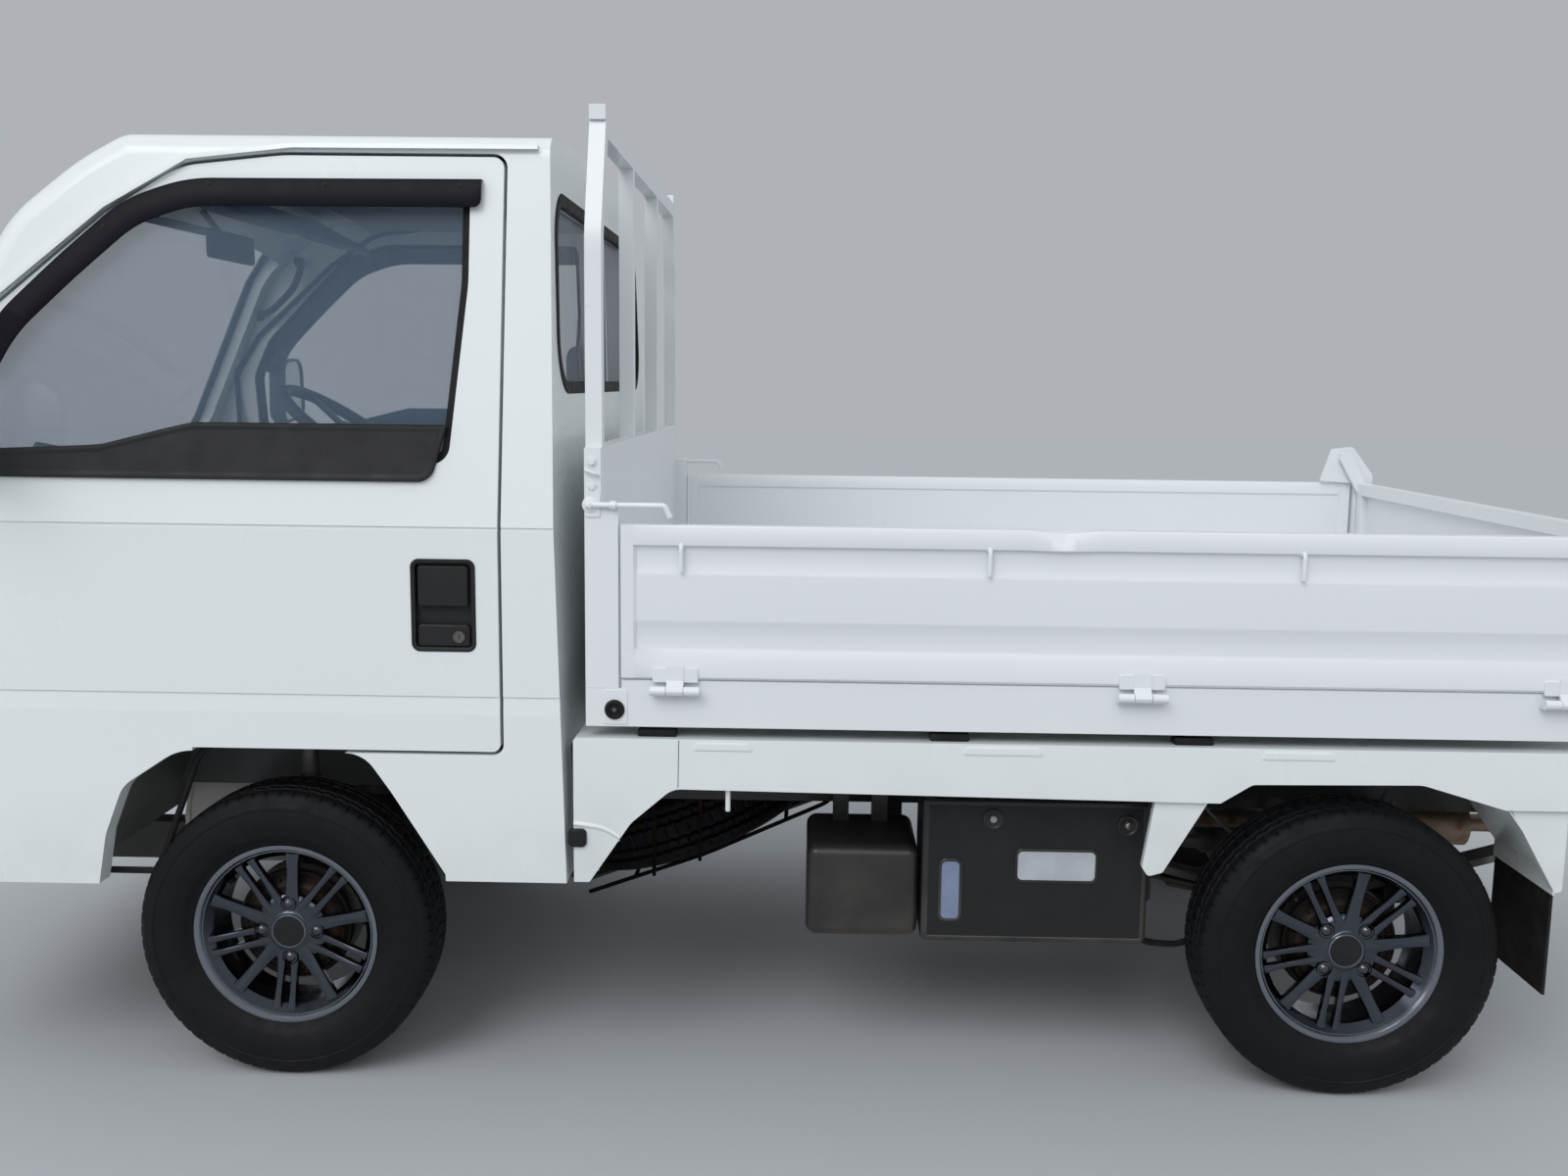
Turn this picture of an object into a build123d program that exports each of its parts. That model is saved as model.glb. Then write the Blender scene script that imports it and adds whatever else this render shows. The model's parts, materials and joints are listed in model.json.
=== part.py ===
from build123d import *
import math
import os

# A kei truck with a tipping bed: cab over the front axle, engine ahead of the rear axle.
# Millimetres. X runs forward, Y to the truck's left, Z up from the ground.
# Stations along X are measured forward from the rear axle; save() moves them to the truck's
# own frame, whose origin is on the ground under the middle of its length.

os.makedirs("parts", exist_ok=True)

# Overall sizes
WIDTH = 1395
WHEELBASE = 1900
FRONT_OVERHANG = 815
REAR_OVERHANG = 540
TRACK = 1200
HALF = WIDTH / 2
FRONT_END = WHEELBASE + FRONT_OVERHANG
LENGTH = FRONT_END + REAR_OVERHANG
REAR_AXLE_X = REAR_OVERHANG - LENGTH / 2

# Clearances: seated pieces, shafts in bores, moving pieces, and the seam round a door
FIT = 0.3
RUNNING_GAP = 0.05
SAFE_GAP = 5
DOOR_GAP = 6

# Wheels: 145 R12 tyres on 12 inch alloy rims
TYRE_RADIUS = 266
TYRE_WIDTH = 145
BEAD_RADIUS = 152.4
FLANGE_RADIUS = 166
HUB_FACE = 24
HUB_PAD_RADIUS = 66
SPOKE_PAIRS = 5
WIDE_SPOKE = 24
THIN_SPOKE = 11
SPOKE_SPLIT = 13
LUG_COUNT = 4
LUG_CIRCLE = 50
WHEEL_Z = TYRE_RADIUS
SPARE_TILT = 20

# Cab shell
CAB_WALL = 40
CAB_BACK = WHEELBASE - 515
CAB_BACK_LEAN = 1.6
CAB_SILL = 386
NOSE_SILL = 556
CAB_CORNER = 50
CAB_PLAN_CENTRE = FRONT_END - 3015
ROOF_TOP = 1702
BELT = 1007
CREASE = 717
CREASE_DEPTH = 2.5
GROOVE_DEPTH = 3
GROOVE_HALF = 3
DRIP_OUT = 11
DRIP_HEIGHT = 8
GLASS = 5
GLASS_DEPTH = 12
WIPER_PIVOTS = (-330, 170)
SPARE_CENTRE = (CAB_BACK - 160, 0, 352)

# Doors
DOOR_REAR = WHEELBASE - 408
DOOR_FRONT = WHEELBASE + 555
DOOR_SILL = 614
DOOR_TOP = 1640
DOOR_NOSE_SILL = 370
DOOR_PIVOT_X = DOOR_FRONT - DOOR_GAP / 2
DOOR_PIVOT_Y = HALF - DOOR_GAP / 2
HINGE_HEIGHTS = (640, 930)
HINGE_HEIGHT = 70
HANDLE_DEPTH = 16
VISOR_HEIGHT = 42

# Cab inside
PAN_Z = 616
FOOTWELL_Z = 414
FLOOR_SHEET = 8
HOUSING_INNER = 380
FLOOR_INNER = HALF - 97.5
SEAT_REAR = WHEELBASE - 455
SEAT_FRONT = WHEELBASE + 50
SEAT_Z = 662
SEAT_CUSHION = 118
STEERING_CENTRE = (WHEELBASE + 160, -330, 1120)
STEERING_RADIUS = 185
STEERING_TILT = 35

# Lower deck
DECK_FRONT = CAB_BACK - 13
DECK_REAR = -405
DECK_TOP = 648
SKIRT_THICK = 40
TAIL_SKIRT_Z = 546
DECK_BEARERS = (350, 740, DECK_FRONT - 222)
PAD_STATIONS = (420, DECK_FRONT - 132)

# Tipping bed
BED_FRONT = CAB_BACK - 35
BED_REAR = -440
BED_BOTTOM = 668
FLOOR_TOP = 735
FLOOR_THICK = 20
RAIL_SETBACK = 5
SIDE_RAIL = 12
BED_BEARERS = (-300, 60, 420, 780, BED_FRONT - 210)
HEADBOARD_TOP = 1147
HEADBOARD_THICK = 28
GUARD_TOP = 1700
GUARD_HALF = HALF - 22.5
GUARD_INNER = GUARD_HALF - 30
TILT_PIVOT = (-440, 655)
TILT_PIN = 12
LUG_RADIUS = 22
LATCH_RADIUS = 5

# Gates
GATE_BOTTOM = 755
GATE_TOP = 1018
GATE_THICK = 30
GATE_FRONT = BED_FRONT - 62
GATE_REAR = BED_REAR + 5
GATE_HINGE_OUT = 12.5
HINGE_Z = 735
HINGE_BARREL = 8
GATE_HINGES = (GATE_FRONT - 93, 398, GATE_REAR + 115)
HOOK_STATIONS = (GATE_FRONT - 103, 663, 136, GATE_REAR + 45)
POST_WIDTH = 46
POST_INNER = HALF - 42.5
TAIL_BOTTOM = 700
TAIL_PIN = 8
TAIL_ARM = 10
TAIL_ARM_REACH = 80
TAILGATE_PIVOT = (-409, 1086)

# Chassis frame
RAIL_Y = 325
RAIL_WIDTH = 50
RAIL_TOP = 545
RAIL_DEPTH = 105
RAIL_END = FRONT_END - 115

# Hoist, a cylinder from the chassis to the underside of the bed
HOIST_FOOT = (730, 412)
HOIST_EYE = (130, 602)
HOIST_BEAM = 775
HOIST_PIN = 10
HOIST_BARREL = 34
HOIST_ROD = 17
BARREL_LENGTH = 475
ROD_START = 55
EYE_HALF = 17

# Axles, springs and steering
KINGPIN_Y = TRACK / 2 - 100
STEERING_ARM = 100
RACK_Z = 230
RACK_RADIUS = 8
DRUM_RADIUS = 106
SPRING_Y = 420
SPRING_EYE = 18

# Underside pieces. Boxes: x from, x to, y from, y to, z from, z to
ENGINE_BOX = (250, 620, -255, 235, 200, 390)
BATTERY_BOX = (347, 757, SPRING_Y + 40, HALF - 97.5, 252, 523)
TANK_BOX = (762, 966, RAIL_Y + 55, HALF - 97.5, 258, 430)
MUFFLER_Y = 220
MUFFLER_Z = 380
FLAP_X = -335
FLAP_THICK = 5
STAY_SETBACK = 10
STAY_THICK = 14
FENDER_SHEET = 3
FENDER_INNER = HALF - 232.5


def from_front_axle(rows):
    """Rows whose x is measured forward from the front axle, as stations."""
    return [(WHEELBASE + row[0], *row[1:]) for row in rows]


def mirrored(rows):
    """Rows of the left half and, in reverse, their mirror images on the right."""
    return rows + [(-row[0], *row[1:]) for row in reversed(rows)]


# Side outlines. Rows: x, z, corner radius
RAIL_ROWS = [
    (-462, RAIL_TOP - RAIL_DEPTH), (-462, RAIL_TOP), (WHEELBASE + 130, RAIL_TOP, 60),
    (WHEELBASE + 240, 375, 60), (RAIL_END, 375), (RAIL_END, 300), (WHEELBASE + 200, 300, 60),
    (WHEELBASE + 80, RAIL_TOP - RAIL_DEPTH, 60),
]
SKIRT_ROWS = [
    (DECK_REAR, DECK_TOP), (DECK_FRONT, DECK_TOP, 8), (DECK_FRONT, 389), (DECK_FRONT - 27, 389, 6),
    (DECK_FRONT - 100, 497, 60), (DECK_FRONT - 172, 559, 40), (254, 550), (200, 584, 20), (-90, 588, 60), (-234, TAIL_SKIRT_Z), (DECK_REAR, TAIL_SKIRT_Z),
]
DASH_ROWS = [
    (WHEELBASE + 450, 800, 20), (WHEELBASE + 410, 960, 40), (WHEELBASE + 430, 1070, 30),
    (WHEELBASE + 600, 1082), (FRONT_END + 5, 1060), (FRONT_END + 5, 800),
]
SEAT_BACK_ROWS = from_front_axle([
    (-430, 788, 20), (-430, 1190, 30), (-365, 1190, 30), (-300, 840, 40), (-300, 788, 20),
])
HEAD_REST_ROWS = from_front_axle([
    (-436, 1225, 15), (-436, 1352, 25), (-370, 1350, 25), (-355, 1232, 20),
])
# Stays that hang from the deck's skirt, ahead of and behind the rear wheel. Rows: x, z, corner radius
FRONT_STAY_ROWS = [(262, 566), (361, 566), (381, 430, 8), (370, 414, 8), (345, 421, 8)]
REAR_STAY_ROWS = [(-236, 566), (FLAP_X - 12, 566), (FLAP_X - 12, 400, 5), (FLAP_X, 396, 5)]
FENDER_LINE = [(-190, 580), (-238, 556), (FLAP_X, 424), (FLAP_X, 392)]
# Plates by the tailgate's pivot. Rows: x, z, corner radius
BRACKET_ROWS = [
    (-486, 1015), (-352, 1024), (-377, 1106, 6), (-431, 1112, 14), (-486, 1040, 10),
]
# The wheelhouse's inner wall, its edges inside the floor's and housing's sheets. Rows: x, z
WHEELHOUSE_ROWS = from_front_axle([
    (-264, 466), (-212, 549), (-166, PAN_Z + 4), (160, PAN_Z + 4), (220, 597), (268, 552), (304, 466),
])
# Sheet metal lines. Rows: x, z
FLOOR_LINE = from_front_axle([
    (-500, PAN_Z), (160, PAN_Z), (218, 594), (265, 550), (302, 462), (316, FOOTWELL_Z),
    (FRONT_OVERHANG - 185, FOOTWELL_Z), (FRONT_OVERHANG - 153, 540),
])
HOUSING_LINE = from_front_axle([(-302, 398), (-282, 432), (-210, 547), (-164, PAN_Z + 4)])
DRIP_LINE = from_front_axle([(-460, 1647), (-40, 1646), (140, 1625), (280, 1542), (478, 1374), (540, 1301)])
VISOR_LINE = from_front_axle([(498, 1276), (457, 1353), (356, 1452), (245, 1551), (138, 1588), (-353, 1590)])
SPRING_LINE = [(-400, 386), (-200, 330), (-40, WHEEL_Z + 33), (40, WHEEL_Z + 33), (220, 322), (450, 379)]
SPRING_EYES = ((-400, 392), (450, 386))
CAGE_LINE = from_front_axle([(-1008, 440), (-988, 390), (-456, 184), (-388, 205), (-388, 440)])
# Cross-members between the rails. Rows: x from, x to, z from, z to
CROSS_MEMBERS = [
    (-395, -345, 440, RAIL_TOP), (20, 60, 440, RAIL_TOP), (HOIST_BEAM, HOIST_BEAM + 50, 380, RAIL_TOP),
    (WHEELBASE - 1030, WHEELBASE - 990, 440, RAIL_TOP), (WHEELBASE - 400, WHEELBASE - 360, 440, RAIL_TOP),
    (WHEELBASE - 120, WHEELBASE - 80, 470, RAIL_TOP), (RAIL_END - 40, RAIL_END, 300, 375),
]

# Cross-sections of the gates, outer face at the body's half width. Rows: y, z, corner radius
GATE_ROWS = [
    (HALF - GATE_THICK, GATE_BOTTOM), (HALF, GATE_BOTTOM), (HALF, 792), (HALF - 7, 798), (HALF - 7, 845),
    (HALF - 4, 852), (HALF - 7, 859), (HALF - 7, 943), (HALF - 4, 950), (HALF - 7, 957), (HALF - 7, 980),
    (HALF, 986), (HALF, GATE_TOP), (HALF - GATE_THICK, GATE_TOP), (HALF - GATE_THICK, 990),
    (HALF - 14, 984), (HALF - 14, 790), (HALF - GATE_THICK, 784),
]
TAIL_ROWS = [(y, TAIL_BOTTOM if z == GATE_BOTTOM else z) for y, z in GATE_ROWS]
GUARD_ROWS = [
    (GUARD_HALF, 1100), (GUARD_HALF, 1500, 150), (GUARD_HALF - 70, GUARD_TOP, 20),
    (70 - GUARD_HALF, GUARD_TOP, 20), (-GUARD_HALF, 1500, 150), (-GUARD_HALF, 1100),
]
GUARD_WINDOWS = [
    [(GUARD_INNER, HEADBOARD_TOP), (GUARD_INNER, 1495, 150), (GUARD_INNER - 63, 1668, 10), (235, 1668),
     (235, HEADBOARD_TOP)],
    [(205, HEADBOARD_TOP), (205, 1668), (-205, 1668), (-205, HEADBOARD_TOP)],
    [(-GUARD_INNER, HEADBOARD_TOP), (-GUARD_INNER, 1495, 150), (63 - GUARD_INNER, 1668, 10), (-235, 1668),
     (-235, HEADBOARD_TOP)],
]


# Helpers
def box(x0, x1, y0, y1, z0, z1):
    """A block between two corners."""
    centre = Pos((x0 + x1) / 2, (y0 + y1) / 2, (z0 + z1) / 2)
    return centre * Box(x1 - x0, y1 - y0, z1 - z0)


def outline(rows):
    """A closed face from rows of (u, v) or (u, v, corner radius)."""
    points = [row[:2] for row in rows]
    radii = [row[2] if len(row) > 2 else 0 for row in rows]
    return make_face(FilletPolyline(*points, radius=radii, close=True))


def along_x(face, x0, x1):
    """Extrude a (y, z) face from x0 to x1."""
    return extrude(Plane((x0, 0, 0), x_dir=(0, 1, 0), z_dir=(1, 0, 0)) * face, x1 - x0)


def along_y(face, y0, y1):
    """Extrude an (x, z) face from y0 to y1."""
    return extrude(Plane((0, y1, 0), x_dir=(1, 0, 0), z_dir=(0, -1, 0)) * face, y1 - y0)


def along_z(face, z0, z1):
    """Extrude an (x, y) face from z0 to z1."""
    return extrude(Pos(0, 0, z0) * face, z1 - z0)


def rod(start, end, radius):
    """A round bar between two points."""
    line = Vector(end) - Vector(start)
    return extrude(Plane(origin=start, z_dir=line) * Circle(radius), line.length)


def bent_rod(points, radius, bend):
    """A round bar along straight runs joined by bends."""
    path = FilletPolyline(*points, radius=bend)
    start = Plane(origin=path @ 0, z_dir=path % 0)
    return sweep(start * Circle(radius), path=path)


def strip(points, thick):
    """A sheet's side outline: a line of points given a thickness to its left."""
    normals = []
    for (x0, z0), (x1, z1) in zip(points, points[1:]):
        run = math.hypot(x1 - x0, z1 - z0)
        normals.append(((z0 - z1) / run, (x1 - x0) / run))
    firsts = [normals[0]] + normals
    seconds = normals + [normals[-1]]
    offset_points = []
    for (x, z), (ax, az), (bx, bz) in zip(points, firsts, seconds):
        scale = thick / (1 + ax * bx + az * bz)
        offset_points.append((x + (ax + bx) * scale, z + (az + bz) * scale))
    return make_face(Polyline(*points, *reversed(offset_points), close=True))


def both_sides(shape):
    """A shape on the left and its mirror image on the right."""
    return [shape, mirror(shape, about=Plane.XZ)]


def fuse(*shapes):
    """Join shapes into one."""
    whole = shapes[0]
    for shape in shapes[1:]:
        whole = whole + shape
    return whole


def save(node, *shapes):
    """Write one node's solids in the truck's own frame."""
    solids = []
    for shape in shapes:
        solids.extend(Pos(REAR_AXLE_X, 0, 0) * solid for solid in shape.solids())
    export_step(Compound(solids), f"parts/{node}.step")


# Cab form: a side outline swung about a far vertical axis, which curves the windscreen in
# plan, met by a cross-section that leans in above the belt. Rows: x, z, corner radius.
CAB_FRONT_ROWS = [
    (FRONT_END - 11, 880, 300),
    (FRONT_END - 25, BELT),
    (FRONT_END - 290, 1530, 250),
    (FRONT_END - 470, 1678, 450),
    (FRONT_END - 695, 1720, 900),
]
# Rows: y, z, corner radius, from the belt up to the middle of the roof
CAB_SECTION_ROWS = [
    (HALF, BELT),
    (HALF - 111.5, 1671, 45),
    (0, ROOF_TOP, 3000),
]
BELOW = 100
ABOVE = ROOF_TOP + 98
BEHIND = CAB_BACK - 200


def swung(face):
    """Swing an (x, z) face about the far vertical axis."""
    axis = Axis((CAB_PLAN_CENTRE, 0, 0), (0, 0, 1))
    upright = Plane((0, 0, 0), x_dir=(1, 0, 0), z_dir=(0, -1, 0)) * face
    return revolve(upright.rotate(axis, -35), axis, 70)


def shrunk(face, inset):
    """The same face with its edge moved in, or out where the inset is negative."""
    return offset(face, -inset, kind=Kind.INTERSECTION) if inset else face


def cab_trimmed(side, inset):
    """Swing a side outline and trim it to the cab's cross-section and sloping back wall."""
    right = [(-row[0], *row[1:]) for row in reversed(CAB_SECTION_ROWS[:-1])]
    section = outline([(HALF, 0)] + CAB_SECTION_ROWS + right + [(-HALF, 0)])
    lean = math.tan(math.radians(CAB_BACK_LEAN)) * (ABOVE - CAB_SILL)
    back = [(CAB_BACK, 0), (CAB_BACK, CAB_SILL), (CAB_BACK + lean, ABOVE), (3000, ABOVE), (3000, 0)]
    form = swung(shrunk(side, inset)) & along_x(shrunk(section, inset), BEHIND, 3000)
    return form & along_y(shrunk(outline(back), inset), -WIDTH, WIDTH)


def front_corners(form):
    """The upright edges where a form's swung front meets its sides."""
    found = []
    for edge in form.edges():
        reach = edge.bounding_box()
        if abs(edge.center().Y) > HALF - 137.5 and reach.min.X > WHEELBASE + 250 and reach.size.Z > 15:
            found.append(edge)
    return found


def cab_form(inset=0, rounded=False):
    """The cab's solid form, shrunk by an inset and open downwards."""
    side = outline([(BEHIND, BELOW), (FRONT_END - 25, BELOW)] + CAB_FRONT_ROWS + [(BEHIND, 1720)])
    form = cab_trimmed(side, inset)
    if not rounded:
        return form
    lower = form & box(0, 3000, -HALF - 50, HALF + 50, 0, BELT)
    upper = form & box(0, 3000, -HALF - 50, HALF + 50, BELT, ABOVE)
    return fillet(front_corners(lower), CAB_CORNER) + fillet(front_corners(upper), CAB_CORNER)


def layer(outer, inner):
    """A skin of the cab form between two depths; a negative depth lies outside it."""
    return cab_form(outer) - cab_form(inner)


# Outlines cut through the cab's sides, seen from the left. Rows: x, z, corner radius.
ARCH_ROWS = from_front_axle([
    (-310, 0), (-302, 398), (-282, 430, 30), (-210, 545, 60), (-162, DOOR_SILL, 60),
    (162, DOOR_SILL, 90), (262, 548, 60), (296, 460, 60), (312, 370), (322, 0),
])
DOOR_ROWS = [
    (DOOR_REAR, DOOR_SILL, 20), (DOOR_REAR, DOOR_TOP, 25), (WHEELBASE - 20, DOOR_TOP, 300),
    (WHEELBASE + 160, 1620, 150), (WHEELBASE + 285, 1538, 120), (WHEELBASE + 485, 1365, 90),
    (DOOR_FRONT, 1265, 60), (DOOR_FRONT, 300), (WHEELBASE + 130, 300), (WHEELBASE + 130, DOOR_SILL),
]
WINDOW_ROWS = from_front_axle([
    (-316, 1115, 32), (-345, 1420, 200), (-345, 1590, 22), (140, 1590, 200), (250, 1556, 120),
    (458, 1352, 120), (505, 1262, 80), (505, 1115, 32),
])
SCREEN_ROWS = mirrored([(HALF - 97.5, 1085, 70), (HALF - 167.5, 1588, 70)])
REAR_WINDOW_ROWS = mirrored([(HALF - 107.5, 1243, 90), (HALF - 137.5, 1580, 90)])
LAMP_ROWS = [
    (HALF - 57.5, 700, 25), (HALF - 57.5, 850, 25), (HALF - 267.5, 850, 25), (HALF - 267.5, 700, 25),
]
HANDLE_ROWS = from_front_axle([(-361, 798, 12), (-361, 953, 12), (-255, 953, 12), (-255, 798, 12)])
MOULDING_ROWS = from_front_axle([
    (-288, 1085, 30), (-314, 1181), (120, 1181, 60), (175, 1168, 60), (280, 1141, 60), (525, 1130),
    (525, 1085, 20),
])
NOSE_FROM = WHEELBASE + 400
SIDE_FROM = HALF - 347.5


def side_cut(rows, shrink=0):
    """A prism through the left side from an outline, reaching in past the wall."""
    return along_y(shrunk(outline(rows), shrink), SIDE_FROM, HALF + 100)


def front_cut(rows, shrink=0, start=NOSE_FROM, end=3000):
    """A prism along the truck from a (y, z) outline."""
    return along_x(shrunk(outline(rows), shrink), start, end)


def crease(z, up):
    """A long shallow pressed line in the cab's left side."""
    rows = [(HALF + 1, z), (HALF - CREASE_DEPTH, z), (HALF + 1, z + up)]
    return along_x(outline(rows), BEHIND, 3000)


def belt_groove():
    """The pressed line round the cab's sides and nose, at the belt."""
    reach = CAB_FRONT_ROWS[1][0] - CAB_PLAN_CENTRE - GROOVE_DEPTH
    sides = Pos(BEHIND + 1500, 0) * Rectangle(3000, WIDTH - 2 * GROOVE_DEPTH)
    core = Pos(CAB_PLAN_CENTRE, 0) * Circle(reach) & sides
    corners = core.vertices().filter_by(lambda v: v.X > DOOR_FRONT)
    band = Pos(1500, 0) * Rectangle(3000, 2 * WIDTH) - fillet(corners, CAB_CORNER + 15)
    return along_z(band, BELT - GROOVE_HALF, BELT + GROOVE_HALF)


OUTER = cab_form(0, rounded=True)
CAVITY = cab_form(CAB_WALL)
SHELL = OUTER - CAVITY - belt_groove()
for cut in both_sides(crease(CREASE, -45)):
    SHELL = SHELL - cut


def make_cab():
    """The cab's fixed body: nose, pillars, roof, back wall and lower side panels."""
    body = SHELL & box(0, 3000, -WIDTH, WIDTH, CAB_SILL, ABOVE)
    body = body - box(DOOR_FRONT - 1, 3000, -WIDTH, WIDTH, 0, NOSE_SILL)
    for rows in (ARCH_ROWS, DOOR_ROWS):
        for cut in both_sides(side_cut(rows)):
            body = body - cut
    body = body - box(0, CAB_BACK + 100, -FLOOR_INNER, FLOOR_INNER, 0, PAN_Z - SAFE_GAP)
    body = body - front_cut(SCREEN_ROWS)
    body = body - front_cut(REAR_WINDOW_ROWS, start=BEHIND, end=CAB_BACK + 100)
    for cut in both_sides(front_cut(LAMP_ROWS, -FIT)):
        body = body - cut
    rail = (cab_form(-DRIP_OUT) - cab_form(CAB_WALL / 4)) & along_y(strip(DRIP_LINE, DRIP_HEIGHT), HALF - 217.5, HALF)
    pins = []
    for z in HINGE_HEIGHTS:
        low, high = z - HINGE_HEIGHT / 2, z + HINGE_HEIGHT / 2
        pin = Pos(DOOR_PIVOT_X, DOOR_PIVOT_Y, z) * Cylinder(DOOR_GAP / 2 - FIT, HINGE_HEIGHT)
        pins.append(pin + box(DOOR_PIVOT_X, DOOR_FRONT + 1, DOOR_PIVOT_Y - 6, DOOR_PIVOT_Y, low, high))
    for shape in [rail] + pins:
        for side in both_sides(shape):
            body = body + side
    save("cab_body", body)


def make_glass():
    """The windscreen, the rear window and the lamps, each inside its opening."""
    pane = layer(GLASS_DEPTH, GLASS_DEPTH + GLASS)
    save("windscreen", pane & front_cut(SCREEN_ROWS, FIT))
    save("rear_window", pane & front_cut(REAR_WINDOW_ROWS, FIT, BEHIND, CAB_BACK + 100))
    save("front_lamps", *both_sides(layer(-2, 30) & front_cut(LAMP_ROWS)))
    return pane


def make_doors(pane):
    """Each door with its window cut, its glass, its black trim and its mirror."""
    door = (SHELL & side_cut(DOOR_ROWS, DOOR_GAP)) - side_cut(ARCH_ROWS)
    door = door & box(0, 3000, 0, WIDTH, DOOR_NOSE_SILL, ABOVE)
    door = door - side_cut(WINDOW_ROWS)
    door = door - along_y(outline(HANDLE_ROWS), HALF - HANDLE_DEPTH, HALF + 20)
    glass = pane & side_cut(WINDOW_ROWS, FIT)
    moulding = layer(-9, -FIT) & side_cut(MOULDING_ROWS)
    visor = layer(-14, -9) & along_y(strip(VISOR_LINE, VISOR_HEIGHT), 400, HALF + 50)
    visor = visor + (layer(-14, -FIT) & along_y(strip(VISOR_LINE, -5), 400, HALF + 50))
    seat = HALF - HANDLE_DEPTH
    handle = along_y(shrunk(outline(HANDLE_ROWS), FIT), seat + FIT, seat + 5)
    grip = HANDLE_ROWS[0][0] + 10
    handle = handle + box(grip, HANDLE_ROWS[2][0] - 10, seat + 4, HALF + 4, 872, 943)
    handle = handle + Pos(grip + 16, seat + 6, 818) * Rot(90, 0, 0) * Cylinder(9, 8)
    stem_x = DOOR_FRONT - 55
    arm = bent_rod([(stem_x, HALF - 7.5, 1100), (stem_x, HALF + 47.5, 1120), (stem_x, HALF + 77.5, 1180)], 9, 12)
    foot = box(stem_x - 22, stem_x + 22, HALF - 40, HALF + 6, 1078, 1122)
    head = fillet(box(stem_x - 28, stem_x + 24, HALF + 40.5, HALF + 202.5, 1128, 1312).edges(), 18)
    mirror_set = (head + arm + foot) - cab_form(-9 - FIT)
    for name, side in (("left", 0), ("right", 1)):
        save(f"door_{name}", both_sides(door)[side])
        save(f"door_glass_{name}", both_sides(glass)[side])
        save(f"door_trim_{name}", *[both_sides(shape)[side] for shape in (moulding, visor, handle)])
        save(f"mirror_{name}", both_sides(mirror_set)[side])


def make_cab_inside():
    """The floor pan with its wheel housings, the dashboard, the seats and the controls."""
    inner = HALF - CAB_WALL - FIT
    floor = along_y(strip(FLOOR_LINE, FLOOR_SHEET), -inner, inner)
    housing = along_y(strip(HOUSING_LINE, FLOOR_SHEET), HOUSING_INNER, inner)
    wall = along_y(outline(WHEELHOUSE_ROWS), HOUSING_INNER - FLOOR_SHEET, HOUSING_INNER + 1)
    riser = box(SEAT_REAR, SEAT_FRONT, 70, 550, PAN_Z + FLOOR_SHEET - 1, SEAT_Z - FIT)
    for shape in both_sides(housing) + both_sides(wall) + both_sides(riser):
        floor = floor + shape
    save("cab_floor", floor & cab_form(CAB_WALL + FIT))
    save("dashboard", along_y(outline(DASH_ROWS), SAFE_GAP - inner, inner - SAFE_GAP) & cab_form(CAB_WALL + FIT))
    cushion = fillet(box(SEAT_REAR + 20, SEAT_FRONT, 80, 540, SEAT_Z, SEAT_Z + SEAT_CUSHION).edges(), 30)
    back = along_y(outline(SEAT_BACK_ROWS), 90, 530)
    back = back + along_y(outline(HEAD_REST_ROWS), 190, 430)
    for y in (250, 370):
        back = back + rod((SEAT_REAR + 45, y, 1180), (SEAT_REAR + 45, y, 1240), 6)
    for name, side in (("left", 0), ("right", 1)):
        save(f"seat_{name}", both_sides(cushion)[side], both_sides(back)[side])

    tilt = math.radians(STEERING_TILT)
    centre = Vector(*STEERING_CENTRE)
    up = Vector(-math.sin(tilt), 0, math.cos(tilt))
    plane = Plane(origin=centre, x_dir=(0, 1, 0), z_dir=up)
    wheel = plane * Torus(STEERING_RADIUS, 14)
    wheel = wheel + extrude(plane.offset(-30) * Circle(42), 45)
    for turn in (0, 120, 240):
        spoke = Pos(STEERING_RADIUS / 2, 0, 0) * Box(STEERING_RADIUS, 22, 10)
        wheel = wheel + plane * Rot(0, 0, turn) * spoke
    save("steering_wheel", wheel)
    run = (centre.Z - FOOTWELL_Z) / math.cos(tilt)
    column = rod(centre - up * (30 + FIT), centre - up * (run + 60), 20)
    column = column - along_y(strip(FLOOR_LINE, FLOOR_SHEET + FIT), -WIDTH, WIDTH)
    column = column.solids().sort_by(Axis.Z)[-1]
    foot, knob = SEAT_FRONT + 80, SEAT_FRONT + 40
    lever = bent_rod([(foot, 0, PAN_Z + FLOOR_SHEET + FIT), (foot, 0, 780), (knob, 0, 900)], 8, 30)
    lever = lever + Pos(knob - 2, 0, 905) * Sphere(20)
    glass_x = FRONT_END - 500
    stem = rod((glass_x, 0, 1535), (glass_x + 105, 0, 1680), 7) & cab_form(CAB_WALL + FIT)
    glass = fillet(box(glass_x - 15, glass_x + 1, -115, 115, 1500, 1560).edges(), 6)
    save("cab_controls", column, lever, stem + glass)


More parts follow.
